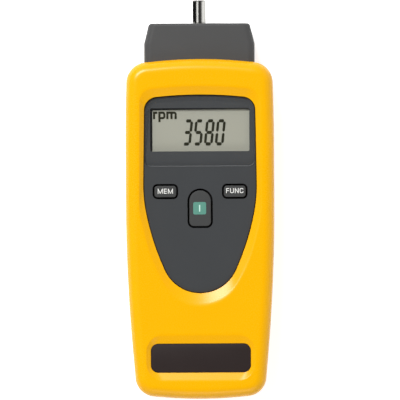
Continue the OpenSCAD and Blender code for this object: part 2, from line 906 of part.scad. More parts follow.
// Width and thickness of the head at height y
function head_size(y) = let (k = max(0, (y - head_bend) / head_taper_h))
    [head_w + (head_top_w - head_w) * k, head_t];

function head_ring(y, inset, r) = let (size = head_size(y))
    ring_at(outline(rectangle(size.x - 2 * inset, size.y - 2 * inset, r), 0, 5), y);

top_edge_r = 1;
module head_skin() {
    loft(concat([for (y = [head_base, head_bend]) head_ring(y, 0, head_edge_r)],
        [for (v = edge_levels(head_top - top_edge_r, top_edge_r, 3))
            head_ring(v[0], v[1], head_edge_r - v[1])]));
}

module head_housing() {
    color(head_grey) along_axis() difference() {
        union() {
            difference() {
                head_skin();
                loft([for (y = [head_base - over, head_bend, head_top - head_cap])
                    head_ring(y, head_wall, head_edge_r - head_wall)]);
            }
            translate([0, 0, tube_end]) cylinder(d = tube_d, h = head_top - tube_end - head_cap / 2);
            for (side = [-1, 1]) translate([side * head_top_w / 4, 0, (tube_end + head_top) / 2])
                cube([head_top_w / 2 - head_wall / 2, rib_t, head_top - tube_end - head_cap], center = true);
        }
        translate([0, 0, tube_end - over]) cylinder(d = bearing_od, h = top_bearing_y - tube_end + over);
        cylinder(d = tip_d + 2 * tip_hole_gap, h = head_top + over);
    }
}

// A shielded bearing between y - bearing_w and y: the outer ring carries both shields
ring_h = 0.75;
shield_t = 0.25;
shield_gap = 0.2;
module bearing_outer(y) {
    ro = bearing_od / 2;
    rs = bearing_bore / 2 + ring_h + shield_gap;
    color(steel) along_axis() translate([0, 0, y - bearing_w]) rotate_extrude() polygon([
        [rs, 0], [ro, 0], [ro, bearing_w], [rs, bearing_w], [rs, bearing_w - shield_t],
        [ro - ring_h, bearing_w - shield_t], [ro - ring_h, shield_t], [rs, shield_t]]);
}

module bearing_inner(y) {
    color(steel) along_axis() translate([0, 0, y - bearing_w]) difference() {
        cylinder(d = bearing_bore + 2 * ring_h, h = bearing_w);
        translate([0, 0, -over]) cylinder(d = bearing_bore, h = bearing_w + 2 * over);
    }
}

module front_bearing_outer() { bearing_outer(top_bearing_y); }
module rear_bearing_outer() { bearing_outer(low_bearing_y); }
module front_bearing_inner() { bearing_inner(top_bearing_y); }
module rear_bearing_inner() { bearing_inner(low_bearing_y); }

module sleeve(y0, y1, od, id) {
    along_axis() translate([0, 0, y0]) difference() {
        cylinder(d = od, h = y1 - y0);
        translate([0, 0, -over]) cylinder(d = id, h = y1 - y0 + 2 * over);
    }
}

module bearing_spacer() {
    color([0.7, 0.6, 0.35])
        sleeve(low_bearing_y, top_bearing_y - bearing_w, bearing_od, bearing_od - 2 * ring_h);
}

module bearing_retainer() {
    color(steel) sleeve(bearings_end - retainer_t, bearings_end, bearing_od, bearing_od - 2 * ring_h);
}

clip_depth = 0.4;
clip_out = 0.9;
clip_slot = 1.6;
neck_in = 0.2;
spindle_tail = 0.3;
module contact_spindle() {
    r = bearing_bore / 2;
    rt = tip_d / 2;
    neck_end = head_top + neck_in;
    color(steel) along_axis() rotate_extrude() polygon([
        [0, disc_y - spindle_tail], [r, disc_y - spindle_tail], [r, bearings_end - retainer_t],
        [r - clip_depth, bearings_end - retainer_t], [r - clip_depth, bearings_end], [r, bearings_end],
        [r, top_bearing_y], [rt - neck_in, top_bearing_y], [rt - neck_in, neck_end], [rt, neck_end],
        [rt, tip_end - tip_chamfer], [rt - tip_chamfer, tip_end], [0, tip_end]]);
}

module spindle_clip() {
    r = bearing_bore / 2;
    color(steel) along_axis() translate([0, 0, bearings_end - retainer_t]) difference() {
        cylinder(r = r + clip_out, h = retainer_t);
        translate([0, 0, -over]) cylinder(r = r - clip_depth, h = retainer_t + 2 * over);
        translate([-clip_slot / 2, 0, -over]) cube([clip_slot, bearing_od, retainer_t + 2 * over]);
    }
}

slot_w = 2;
slot_edge = 1;
disc_hub = 2;
module target_disc() {
    r = disc_d / 2;
    r0 = bearing_bore / 2 + disc_hub;
    color([0.85, 0.85, 0.86]) along_axis() translate([0, 0, disc_y]) linear_extrude(disc_t) difference() {
        circle(r = r);
        circle(d = bearing_bore);
        for (i = [0 : disc_slots - 1]) rotate(360 * i / disc_slots)
            translate([r0, -slot_w / 2]) square([r - slot_edge - r0, slot_w]);
    }
}

place() front_case();
place() rear_case();
place() fascia();
place() display_window();
place() display_glass();
place() zebra_strips();
place() circuit_board();
place() controller_chip();
place() quartz_crystal();
place() board_screws();
place() case_screws();
place() nameplate();
place() sensor_block();
place() sensor_board();
place() laser_module();
place() receiver_lens();
place() photodiode();
place() optical_window();
place() battery_left();
place() battery_right();
place() spring_contacts();
place() plate_contacts();
place() mem_dome();
place() func_dome();
place() measure_dome();
place() mem_button();
place() func_button();
place() measure_button();
place() battery_door();
place() head_housing();
place() front_bearing_outer();
place() rear_bearing_outer();
place() bearing_spacer();
place() bearing_retainer();
place() contact_spindle();
place() front_bearing_inner();
place() rear_bearing_inner();
place() target_disc();
place() spindle_clip();
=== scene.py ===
"""Looks of a hand-held tachometer with a plug-on contact head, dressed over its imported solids."""
import logging
import math
from dataclasses import dataclass
from enum import Enum

import bmesh
import bpy
import numpy as np
from numpy.typing import NDArray
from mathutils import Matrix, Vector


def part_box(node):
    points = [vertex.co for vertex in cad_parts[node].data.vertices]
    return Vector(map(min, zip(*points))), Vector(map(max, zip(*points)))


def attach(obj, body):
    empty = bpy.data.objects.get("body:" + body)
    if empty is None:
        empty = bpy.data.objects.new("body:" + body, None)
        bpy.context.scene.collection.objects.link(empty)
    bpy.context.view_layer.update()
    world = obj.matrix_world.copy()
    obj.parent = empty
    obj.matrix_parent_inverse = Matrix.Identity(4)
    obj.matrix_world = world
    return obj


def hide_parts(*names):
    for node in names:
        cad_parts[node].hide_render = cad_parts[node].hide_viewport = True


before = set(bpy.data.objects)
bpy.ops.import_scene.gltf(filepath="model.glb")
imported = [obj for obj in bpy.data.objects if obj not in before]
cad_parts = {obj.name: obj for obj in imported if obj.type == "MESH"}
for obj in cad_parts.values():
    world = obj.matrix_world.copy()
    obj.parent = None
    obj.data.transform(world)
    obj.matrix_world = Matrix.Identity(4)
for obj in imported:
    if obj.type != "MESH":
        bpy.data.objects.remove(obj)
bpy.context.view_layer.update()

Array = NDArray[np.float64]
Colour = tuple[float, float, float]
Point = tuple[float, float, float]
# Place and radius of an outline's corner
Corner = tuple[float, float, float]
# Heights of rings, and how far each is set in
Levels = list[tuple[float, float]]
LOG = logging.getLogger("tachometer")

MM = 0.001
WHITE = (1.0, 1.0, 1.0, 1.0)
# Steps in a corner's arc, and in that of the panel's large outlines
ARC_STEPS = 10
FINE_STEPS = 20
# Steps in a rounded edge, in one that shows less and in a small one
EDGE_STEPS = 12
PLAIN_STEPS = 6
SMALL_STEPS = 4
# Edges that turn by more than this are drawn sharp
SHARP = math.radians(13.0)
# Points nearer than the first are merged and edges shorter than the second dropped, in metres
WELD = 2e-7
NO_LENGTH = 1e-8
# How far a joined solid reaches into its neighbour, and how far a cut reaches past a face
ROOT = 0.2
PAST = 1.0


class Cap(Enum):
    """How the end of a loft is closed."""

    FLAT = "flat"
    POINT = "point"


class Carve(Enum):
    """What a tool solid does to the piece that it meets."""

    CUT = "DIFFERENCE"
    JOIN = "UNION"
    KEEP = "INTERSECT"


class Body(Enum):
    """Moving bodies of the instrument."""

    INSTRUMENT = "instrument"
    HEAD = "contact_head"
    SPINDLE = "spindle"
    MEM_KEY = "mem_key"
    FUNC_KEY = "func_key"
    MEASURE_KEY = "measure_key"
    BATTERY_COVER = "battery_cover"


# Outlines and surfaces, in millimetres


def unit(vectors: Array) -> Array:
    """Scale each row to length one."""
    return vectors / np.linalg.norm(vectors, axis=-1, keepdims=True)


@dataclass(frozen=True)
class Outline:
    """A closed outline with rounded corners, run anticlockwise.

    Attributes:
        corners: one row of x, y and radius for each corner.
    """

    corners: Array

    @classmethod
    def rectangle(cls, width: float, height: float, radius: float, x: float = 0.0,
                  y: float = 0.0) -> "Outline":
        """Build a rounded rectangle.

        Args:
            width: size along x.
            height: size along y.
            radius: radius of its four corners.
            x: centre along x.
            y: centre along y.

        Returns:
            The outline.
        """
        sides = np.array([[-1, -1], [1, -1], [1, 1], [-1, 1]]) / 2
        places = sides * [width, height] + [x, y]
        return cls(np.column_stack([places, np.full(4, radius)]))

    @classmethod
    def mirrored(cls, right: list[Corner]) -> "Outline":
        """Close a right-hand list of corners, from lower to upper middle, with its mirror image.

        Args:
            right: corners with x not below zero, run upwards.

        Returns:
            The outline.
        """
        half = np.array(right)
        left = half[::-1] * [-1, 1, 1]
        return cls(np.vstack([half, left[left[:, 0] < 0]]))

    def ring(self, inset: float = 0.0, steps: int = ARC_STEPS) -> Array:
        """Trace the outline as points.

        Each corner's arc has its centre on the corner's bisector, at radius / sin(half the corner's angle).
        The arc runs from one tangent point to the other in equal angles, with its radius less the inset.

        Args:
            inset: how far the outline moves inwards.
            steps: steps in each arc.

        Returns:
            Points of x and y.
        """
        at, radius = self.corners[:, :2], self.corners[:, 2]
        back = unit(np.roll(at, 1, 0) - at)
        ahead = unit(np.roll(at, -1, 0) - at)
        half = np.arccos(np.clip((back * ahead).sum(1), -1, 1)) / 2
        centre = at + unit(back + ahead) * (radius / np.sin(half))[:, None]
        start = at + back * (radius / np.tan(half))[:, None] - centre
        turn = np.linspace(0, 1, steps + 1) * (np.pi - 2 * half)[:, None]
        angle = np.arctan2(start[:, 1], start[:, 0])[:, None] + turn
        spoke = np.stack([np.cos(angle), np.sin(angle)], -1) * (radius - inset)[:, None, None]
        return (centre[:, None] + spoke).reshape(-1, 2)


@dataclass
class Surface:
    """Points in millimetres and the faces between them."""

    points: Array
    faces: list[list[int]]

    def __add__(self, other: "Surface") -> "Surface":
        """Put two surfaces into one, side by side.

        Args:
            other: the surface whose points and faces follow this one's.

        Returns:
            Both in one.
        """
        step = len(self.points)
        moved = [[step + i for i in face] for face in other.faces]
        return Surface(np.vstack([self.points, other.points]), self.faces + moved)


def grid_faces(rows: int, columns: int, close_rows: bool = False) -> list[list[int]]:
    """List the quads of a grid whose columns close on themselves.

    Args:
        rows: number of rings.
        columns: points in each ring.
        close_rows: whether the last ring also meets the first.

    Returns:
        Corner numbers of each quad.
    """
    column = np.arange(columns)
    beside = np.roll(column, -1)
    row = (np.arange(rows if close_rows else rows - 1) * columns)[:, None]
    above = (row + columns) % (rows * columns)
    quads = np.stack([row + column, row + beside, above + beside, above + column], -1)
    return quads.reshape(-1, 4).tolist()


def loft(rings: Array, end: Cap = Cap.FLAT) -> Surface:
    """Carry a closed ring through a row of places.

    Point (u, v) is the v-th point of the u-th ring; neighbouring rings are joined by quads. The first ring
    is closed flat.

    Args:
        rings: rings by points by three coordinates.
        end: how the last ring is closed.

    Returns:
        The surface.
    """
    count, size = rings.shape[:2]
    points = rings.reshape(-1, 3)
    faces = grid_faces(count, size)
    last = (count - 1) * size
    faces.append(list(range(size - 1, -1, -1)))
    if end is Cap.FLAT:
        faces.append(list(range(last, last + size)))
    if end is Cap.POINT:
        around = last + np.arange(size)
        tip = np.full(size, len(points))
        faces += np.stack([around, np.roll(around, -1), tip], -1).tolist()
        points = np.vstack([points, rings[-1].mean(0)])
    return Surface(points, faces)


def closed_loft(rings: Array) -> Surface:
    """Carry a closed ring along a closed row of places, so that the last ring meets the first."""
    return Surface(rings.reshape(-1, 3), grid_faces(rings.shape[0], rings.shape[1], True))


def at_height(ring: Array, z: float) -> Array:
    """Lift flat points of x and y to one height."""
    return np.column_stack([ring, np.full(len(ring), z)])


def stack(outline: Outline, levels: Levels, steps: int = ARC_STEPS) -> Array:
    """Repeat an outline at several heights.

    Args:
        outline: the outline.
        levels: height and inset of each ring.
        steps: steps in each corner's arc.

    Returns:
        The rings.
    """
    return np.stack([at_height(outline.ring(inset, steps), z) for z, inset in levels])


def round_edge(z: float, radius: float, up: int = 1, inset: float = 0.0, steps: int = EDGE_STEPS) -> Levels:
    """Give the heights and insets of a quarter-round edge.

    At angle a the edge lies radius * sin(a) beyond z and radius * (1 - cos(a)) inside the wall.

    Args:
        z: height at which the wall ends.
        radius: radius of the edge.
        up: 1 for an edge above the wall, -1 for one below it.
        inset: inset of the wall itself.
        steps: steps in the quarter.

    Returns:
        Height and inset of each ring, from the wall to the face.
    """
    angle = np.linspace(0, np.pi / 2, steps + 1)
    heights = z + up * radius * np.sin(angle)
    insets = inset + radius * (1 - np.cos(angle))
    return list(zip(heights.tolist(), insets.tolist()))


def prism(outline: Outline, z0: float, z1: float, inset: float = 0.0) -> Surface:
    """Raise an outline into a straight solid between two heights."""
    return loft(stack(outline, [(z0, inset), (z1, inset)]))


def block(low: Point, high: Point) -> Surface:
    """Build a box: a rectangle raised from the height of one corner to that of the opposite one.

    Args:
        low: its lowest corner.
        high: the opposite corner.

    Returns:
        The surface.
    """
    x = np.array([low[0], high[0], high[0], low[0]])
    y = np.array([low[1], low[1], high[1], high[1]])
    return loft(np.stack([at_height(np.column_stack([x, y]), z) for z in (low[2], high[2])]))


def rod(x: float, y: float, diameter: float, z0: float, z1: float, sides: int = 40) -> Surface:
    """Build an upright cylinder: a circle of the given diameter raised from z0 to z1.

    Args:
        x: its place across the body.
        y: its place along the body.
        diameter: its diameter.
        z0: height of its lower end.
        z1: height of its upper end.
        sides: points in the circle.

    Returns:
        The surface.
    """
    angle = np.arange(sides) * 2 * np.pi / sides
    circle = np.column_stack([x + np.cos(angle) * diameter / 2, y + np.sin(angle) * diameter / 2])
    return loft(np.stack([at_height(circle, z) for z in (z0, z1)]))


def along_body(rings: Array, axis_z: float) -> Array:
    """Turn rings of (across, thick, along) so that they run along the body at the spindle's height."""
    return np.stack([rings[..., 0], rings[..., 2], axis_z - rings[..., 1]], -1)


def lathe(profile: list[tuple[float, float]], axis_z: float, sides: int = 72) -> Array:
    """Turn a profile about the spindle's line.

    Point (u, v) of the result is the u-th profile point, at its radius and at angle 2 pi v / sides.

    Args:
        profile: radius and place along the body of each point.
        axis_z: height of the line.
        sides: points in each ring.

    Returns:
        The rings.
    """
    radius, along = np.array(profile).T
    angle = np.arange(sides) * 2 * np.pi / sides
    across = radius[:, None] * np.cos(angle)
    thick = radius[:, None] * np.sin(angle)
    return along_body(np.stack([across, thick, np.broadcast_to(along[:, None], across.shape)], -1), axis_z)


# Shader groups and finishes


def linear(rgb: tuple[int, int, int]) -> Colour:
    """Turn a display colour of 0 to 255 into a scene-linear one.

    The sRGB curve is straight near black and a shifted power of 2.4 above that.

    Args:
        rgb: the display colour.

    Returns:
        Linear shares of red, green and blue.
    """
    share = np.array(rgb) / 255
    value = np.where(share <= 0.04045, share / 12.92, ((share + 0.055) / 1.055) ** 2.4)
    return tuple(value.tolist())


class Wiring:
    """Adds nodes to a tree and joins them."""

    def __init__(self, tree: bpy.types.NodeTree) -> None:
        """Keep the tree."""
        self.tree = tree

    def node(self, kind: str, **values: object) -> bpy.types.Node:
        """Add a node.

        Args:
            kind: the node's type name.
            values: attributes of the node, or inputs by name with spaces written as underscores.

        Returns:
            The node.
        """
        made = self.tree.nodes.new(kind)
        for key, value in values.items():
            if hasattr(made, key):
                setattr(made, key, value)
            else:
                self.fill(made, **{key: value})
        return made

    @staticmethod
    def fill(node: bpy.types.Node, **values: object) -> None:
        """Set inputs of a node by name, with spaces written as underscores."""
        for key, value in values.items():
            node.inputs[key.replace("_", " ")].default_value = value

    def join(self, source: bpy.types.NodeSocket, target: bpy.types.NodeSocket) -> None:
        """Link an output to an input."""
        self.tree.links.new(source, target)


class Group(Enum):
    """Shader groups shared by the finishes."""

    MOULDED = "moulded_grain"
    TURNED = "tool_marks"


GROUP_INPUTS = [
    ("Colour", "NodeSocketColor", (0.5, 0.5, 0.5, 1.0)),
    ("Tint", "NodeSocketColor", (0.5, 0.5, 0.5, 1.0)),
    ("Rough", "NodeSocketFloat", 0.4),
    ("Spread", "NodeSocketFloat", 0.1),
    ("Scale", "NodeSocketVector", (1.0, 1.0, 1.0)),
]
GROUP_OUTPUTS = [("Colour", "NodeSocketColor"), ("Rough", "NodeSocketFloat"), ("Height", "NodeSocketFloat")]
# Layers of detail in the fine noise, and its mean
DETAIL = {Group.MOULDED: 3.0, Group.TURNED: 6.0}
NOISE_MEAN = 0.5
# Patches of slow noise per metre, and the stretch of its values over which the colour drifts
PATCHES = 70.0
DRIFT = (0.3, 0.75)


def surface_group(kind: Group) -> bpy.types.NodeTree:
    """Build a surface group once and hand it out again afterwards.

    Fine noise gives the height and the roughness; slow noise moves the colour towards its tint. The scale
    stretches the fine noise, which turns an even moulded grain into the lines of a cutting tool.

    Args:
        kind: which group.

    Returns:
        The group's tree.
    """
    if kind.value in bpy.data.node_groups:
        return bpy.data.node_groups[kind.value]
    tree = bpy.data.node_groups.new(kind.value, "ShaderNodeTree")
    for name, socket, default in GROUP_INPUTS:
        tree.interface.new_socket(name, in_out="INPUT", socket_type=socket).default_value = default
    for name, socket in GROUP_OUTPUTS:
        tree.interface.new_socket(name, in_out="OUTPUT", socket_type=socket)
    wire = Wiring(tree)
    source, sink = wire.node("NodeGroupInput"), wire.node("NodeGroupOutput")
    place = wire.node("ShaderNodeTexCoord")
    stretch = wire.node("ShaderNodeMapping")
    fine = wire.node("ShaderNodeTexNoise", Scale=1.0, Detail=DETAIL[kind], Roughness=0.55)
    slow = wire.node("ShaderNodeTexNoise", Scale=PATCHES, Detail=2.0)
    wire.join(place.outputs["Object"], stretch.inputs["Vector"])
    wire.join(source.outputs["Scale"], stretch.inputs["Scale"])
    wire.join(stretch.outputs["Vector"], fine.inputs["Vector"])
    wire.join(place.outputs["Object"], slow.inputs["Vector"])
    drift = wire.node("ShaderNodeMapRange", clamp=True, From_Min=DRIFT[0], From_Max=DRIFT[1])
    wire.join(slow.outputs["Fac"], drift.inputs["Value"])
    blend = wire.node("ShaderNodeMix", data_type="RGBA")
    wire.join(drift.outputs["Result"], blend.inputs["Factor"])
    wire.join(source.outputs["Colour"], blend.inputs["A"])
    wire.join(source.outputs["Tint"], blend.inputs["B"])
    swing = wire.node("ShaderNodeMath", operation="SUBTRACT")
    wire.join(fine.outputs["Fac"], swing.inputs[0])
    swing.inputs[1].default_value = NOISE_MEAN
    rough = wire.node("ShaderNodeMath", operation="MULTIPLY_ADD", use_clamp=True)
    wire.join(swing.outputs["Value"], rough.inputs[0])
    wire.join(source.outputs["Spread"], rough.inputs[1])
    wire.join(source.outputs["Rough"], rough.inputs[2])
    wire.join(blend.outputs["Result"], sink.inputs["Colour"])
    wire.join(rough.outputs["Value"], sink.inputs["Rough"])
    wire.join(fine.outputs["Fac"], sink.inputs["Height"])
    return tree


@dataclass(frozen=True)
class Finish:
    """A finish of one colour with fine relief.

    Attributes:
        name: the material's name.
        colour: display colour of 0 to 255.
        rough: mean roughness.
        spread: how far the roughness swings with the grain.
        tint: how much darker the slow drift of colour becomes.
        grain: grains per metre along x, y and z.
        relief: height of the grain in metres.
        metal: metallic share.
        shine: specular level.
        alpha: opacity.
        coat: share of a clear coat.
        group: which surface group it uses.
    """

    name: str
    colour: tuple[int, int, int]
    rough: float = 0.4
    spread: float = 0.12
    tint: float = 0.04
    grain: tuple[float, float, float] = (3200.0, 3200.0, 3200.0)
    relief: float = 0.00001
    metal: float = 0.0
    shine: float = 0.5
    alpha: float = 1.0
    coat: float = 0.0
    group: Group = Group.MOULDED

    def material(self) -> bpy.types.Material:
        """Build the finish's material once and hand it out again afterwards.

        Returns:
            The material.
        """
        if self.name in bpy.data.materials:
            return bpy.data.materials[self.name]
        made = bpy.data.materials.new(self.name)
        made.use_nodes = True
        wire = Wiring(made.node_tree)
        shader = made.node_tree.nodes["Principled BSDF"]
        wire.fill(shader, Metallic=self.metal, Specular_IOR_Level=self.shine, Alpha=self.alpha,
                  Coat_Weight=self.coat)
        base = linear(self.colour)
        made.diffuse_color = (*base, self.alpha)
        effect = wire.node("ShaderNodeGroup", node_tree=surface_group(self.group))
        tint = tuple(c * (1 - self.tint) for c in base)
        wire.fill(effect, Colour=(*base, 1.0), Tint=(*tint, 1.0), Rough=self.rough, Spread=self.spread,
                  Scale=self.grain)
        wire.join(effect.outputs["Colour"], shader.inputs["Base Color"])
        wire.join(effect.outputs["Rough"], shader.inputs["Roughness"])
        bump = wire.node("ShaderNodeBump", Strength=1.0, Distance=self.relief)
        wire.join(effect.outputs["Height"], bump.inputs["Height"])
        wire.join(bump.outputs["Normal"], shader.inputs["Normal"])
        return made


YELLOW = Finish("yellow_abs", (254, 185, 0), rough=0.27, tint=0.02, relief=0.000003, shine=0.29)
DARK_PANEL = Finish("panel_grey", (66, 68, 70), rough=0.5, tint=0.05, relief=0.000006, shine=0.12)
# Painted shade: the panel's rounded outer edge is coloured dark brown to stand in for the shadow and gap
# between panel and case.
PANEL_EDGE_SHADE = Finish("panel_edge_shade", (56, 46, 36), rough=0.5, tint=0.05, relief=0.000003, shine=0.1)
HEAD_GREY = Finish("head_grey", (81, 81, 81), rough=0.46, tint=0.05, grain=(2600.0,) * 3,
                   relief=0.000008, shine=0.15)
KEY_GREY = Finish("key_rubber", (70, 71, 71), rough=0.55, tint=0.05, grain=(4200.0,) * 3,
                  relief=0.000005, shine=0.12)
# Painted shade: near black on each key's wall, rounded edge and flange, standing in for the shade in the gap
# round the key.
KEY_GAP_SHADE = Finish("key_gap_shade", (14, 14, 14), rough=0.55, tint=0.05, grain=(4200.0,) * 3,
                  relief=0.000003, shine=0.1)
NAMEPLATE = Finish("plate_brown", (50, 42, 41), rough=0.35, spread=0.2, tint=0.1,
                   grain=(300.0, 6000.0, 300.0), relief=0.000002, shine=0.25)
# The window's pale tint lightens the panel seen through it, a faint painted reflection.
WINDOW = Finish("clear_window", (124, 126, 127), rough=0.08, spread=0.03, relief=0.000001,
                shine=0.3, alpha=0.03)
# Painted highlight: pale grey on the window's rounded edge along its lower and right sides, standing in for
# the light that edge catches.
WINDOW_EDGE_HIGHLIGHT = Finish("window_edge_highlight", (136, 138, 139), rough=0.25, spread=0.05, relief=0.000001)
DISPLAY = Finish("display_glass", (173, 173, 159), rough=0.3, spread=0.05, tint=0.03, relief=0.000001)
SEGMENT = Finish("display_ink", (33, 33, 10), rough=0.45, spread=0.05, relief=0.000001, shine=0.1)
# Partly painted shade: the near-black mask shows only at the display's left and upper edges, where the
# opening's shadow falls, and darkens them further.
MASK_SHADE = Finish("display_mask_shade", (6, 5, 4), rough=0.5, spread=0.05, relief=0.000001, shine=0.1)
PRINT = Finish("white_print", (236, 236, 232), rough=0.5, grain=(6000.0,) * 3, relief=0.000003)
GREEN = Finish("green_print", (90, 149, 133), rough=0.45, grain=(5000.0,) * 3, relief=0.000003)
PALE_PRINT = Finish("pale_print", (205, 240, 228), rough=0.5, grain=(5000.0,) * 3, relief=0.000003)
CHROME = Finish("bright_steel", (170, 169, 165), rough=0.19, spread=0.1, grain=(120.0, 9000.0, 120.0),
                relief=0.000002, metal=1.0, group=Group.TURNED)
SCREW_STEEL = Finish("zinc_steel", (168, 168, 172), rough=0.34, spread=0.2, grain=(1500.0, 1500.0, 9000.0),
                     relief=0.000003, metal=1.0, group=Group.TURNED)
SPRING_STEEL = Finish("nickel_plate", (196, 190, 178), rough=0.26, spread=0.14,
                      grain=(6000.0, 900.0, 900.0), relief=0.000002, metal=1.0, group=Group.TURNED)
BRASS = Finish("brass", (190, 152, 84), rough=0.3, spread=0.14, grain=(200.0, 8000.0, 200.0),
               relief=0.000002, metal=1.0, group=Group.TURNED)
DISC_METAL = Finish("etched_disc", (210, 211, 214), rough=0.24, spread=0.1, grain=(5200.0, 300.0, 5200.0),
                    relief=0.000001, metal=1.0, group=Group.TURNED)
BOARD = Finish("board_green", (34, 96, 58), rough=0.4, spread=0.15, tint=0.18,
               grain=(1800.0, 1800.0, 400.0))
CHIP = Finish("chip_epoxy", (38, 38, 41), rough=0.6, tint=0.1, grain=(7000.0,) * 3)
RUBBER = Finish("contact_rubber", (62, 60, 62), rough=0.7, tint=0.1, grain=(9000.0, 500.0, 500.0))
SILICONE = Finish("dome_silicone", (196, 196, 190), rough=0.5, tint=0.05, grain=(2400.0,) * 3)
OPTICS_BLACK = Finish("optics_black", (44, 44, 46), rough=0.62, tint=0.1, grain=(2800.0,) * 3,
                      relief=0.000014)
LENS = Finish("lens_glass", (214, 226, 232), rough=0.05, spread=0.02, relief=0.0000005,
              alpha=0.3, coat=0.4)
RED_WINDOW = Finish("red_filter", (126, 16, 20), rough=0.1, spread=0.03, relief=0.000001,
                    alpha=0.72, coat=0.3)
CELL_JACKET = Finish("cell_jacket", (58, 64, 76), rough=0.3, spread=0.1, tint=0.12,
                     grain=(900.0, 200.0, 900.0))


# Making pieces

# What each tool solid does, and its surface
Tools = list[tuple[Carve, Surface]]


def add_object(name: str, data: bpy.types.ID) -> bpy.types.Object:
    """Put an object into the scene.

    Args:
        name: name of the object.
        data: its mesh, lamp or camera.

    Returns:
        The object.
    """
    made = bpy.data.objects.new(name, data)
    bpy.context.scene.collection.objects.link(made)
    return made


def new_object(name: str, surface: Surface, lower_end: float) -> bpy.types.Object:
    """Put a surface into the scene, closed and facing outwards.

    Args:
        name: name of the object.
        surface: the surface, with y measured from the body's lower end.
        lower_end: place of the body's lower end in the frame.

    Returns:
        The object.
    """
    mesh = bpy.data.meshes.new(name)
    mesh.from_pydata(((surface.points + [0, lower_end, 0]) * MM).tolist(), [], surface.faces)
    made = add_object(name, mesh)
    tidy_mesh(mesh)
    return made


def tidy_mesh(mesh: bpy.types.Mesh) -> None:
    """Merge doubles, drop empty faces, turn the faces outwards and shade them by angle.

    Args:
        mesh: the mesh, which is changed in place.
    """
    work = bmesh.new()
    work.from_mesh(mesh)
    bmesh.ops.remove_doubles(work, verts=work.verts, dist=WELD)
    bmesh.ops.dissolve_degenerate(work, edges=work.edges, dist=NO_LENGTH)
    bmesh.ops.recalc_face_normals(work, faces=work.faces)
    work.to_mesh(mesh)
    work.free()
    mesh.shade_smooth()
    mesh.set_sharp_from_angle(angle=SHARP)


def carve(piece: bpy.types.Object, tools: Tools, lower_end: float) -> None:
    """Cut, join or intersect a piece with tool solids, one after the other.

    Args:
        piece: the piece; its mesh is replaced by the result.
        tools: what each tool does, and its surface.
        lower_end: place of the body's lower end in the frame.
    """
    helpers = []
    for count, (kind, surface) in enumerate(tools):
        helper = new_object(f"{piece.name}_tool_{count}", surface, lower_end)
        step = piece.modifiers.new(f"tool_{count}", "BOOLEAN")
        step.operation = kind.value
        step.solver = "EXACT"
        step.object = helper
        helpers.append(helper)
    graph = bpy.context.evaluated_depsgraph_get()
    result = bpy.data.meshes.new_from_object(piece.evaluated_get(graph))
    piece.modifiers.clear()
    old = piece.data
    piece.data = result
    result.name = piece.name
    bpy.data.meshes.remove(old)
    for helper in helpers:
        bpy.data.meshes.remove(helper.data)
    result.materials.clear()
    tidy_mesh(result)


def dress(piece: bpy.types.Object, finish: Finish, body: Body,
          nodes: tuple[str, ...] = ()) -> None:
    """Give a piece its finish and its place among the moving bodies.

    Args:
        piece: the piece.
        finish: its finish.
        body: the body that it rides on.
        nodes: solids that it stands for.
    """
    piece.data.materials.clear()
    piece.data.materials.append(finish.material())
    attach(piece, body.value)
    if nodes:
        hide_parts(*nodes)
    LOG.info("%s: %d faces on %s", piece.name, len(piece.data.polygons), body.value)


def paint_edge_shade_or_highlight(piece: bpy.types.Object, finish: Finish, low: float, high: float, ahead: float = 1.0,
                right: float = -1.0, above: float = -1.0, below: float = -1.0) -> None:
    """Paint the faces of a rounded edge, and those below a height, with a second finish that stands for
    painted shade or a painted highlight.

    Args:
        piece: the piece, already dressed.
        finish: the finish of the painted shade or highlight.
        low: least upward share of a face's normal that still counts as edge.
        high: share from which a face counts as level.
        ahead: largest share of the normal towards the spindle tip.
        right: least share of the normal towards the right.
        above: height above which the edge lies.
        below: height below which each face takes the finish.
    """
    piece.data.materials.append(finish.material())
    polygons = piece.data.polygons
    normals, centres = np.empty((2, len(polygons) * 3))
    polygons.foreach_get("normal", normals)
    polygons.foreach_get("center", centres)
    across, along, up = normals.reshape(-1, 3).T
    height = centres.reshape(-1, 3)[:, 2] / MM
    edge = (up > low) & (up < high) & (along <= ahead) & (across >= right) & (height > above)
    edge |= height < below
    polygons.foreach_set("material_index", edge.astype(np.int32))


# The instrument


@dataclass(frozen=True)
class Shield:
    """Outline of the front panel or of its surround: an arched top, straight sides and a round nose.

    Attributes:
        half: half width at the shoulders.
        narrowing: how much of it the sides lose towards the top.
        low: lowest point of the nose.
        top: highest point of the arch.
        shoulder_y: height at which the sides bend.
        shoulder_r: radius of that bend.
        flank: half width at which the flanks bend towards the nose.
        flank_r: radius of that bend.
        nose_r: radius of the nose.
        nose_angle: angle between the nose's sides and the middle line.
        corner_r: radius of the upper corners.
        arch_r: radius of the upper edge.
    """

    half: float
    narrowing: float
    low: float
    top: float
    shoulder_y: float
    shoulder_r: float
    flank: float
    flank_r: float
    nose_r: float
    nose_angle: float
    corner_r: float
    arch_r: float

    def arch(self, inset: float = 0.0) -> list[Corner]:
        """Right-hand corner and middle of the arched top.

        The arch's two tangents meet in the middle, above the arch by its radius times
        (1 / cos(half its angle) - 1).

        Args:
            inset: how far the arch moves inwards.

        Returns:
            The two corners, with their radii.
        """
        upper, corner_r = self.half - self.narrowing - inset, self.corner_r - inset
        angle = math.asin((upper - corner_r) / self.arch_r)
        apex = self.top - inset + self.arch_r * (1 / math.cos(angle) - 1)
        return [(upper, apex - upper * math.tan(angle), corner_r), (0.0, apex, self.arch_r)]

    def outline(self) -> Outline:
        """Close nose, flanks, sides and arch into an outline.

        Returns:
            The outline.
        """
        tip = self.low + self.nose_r - self.nose_r / math.sin(self.nose_angle)
        return Outline.mirrored([
            (0.0, tip, self.nose_r),
            (self.flank, tip + self.flank / math.tan(self.nose_angle), self.flank_r),
            (self.half, self.shoulder_y, self.shoulder_r),
            *self.arch()])


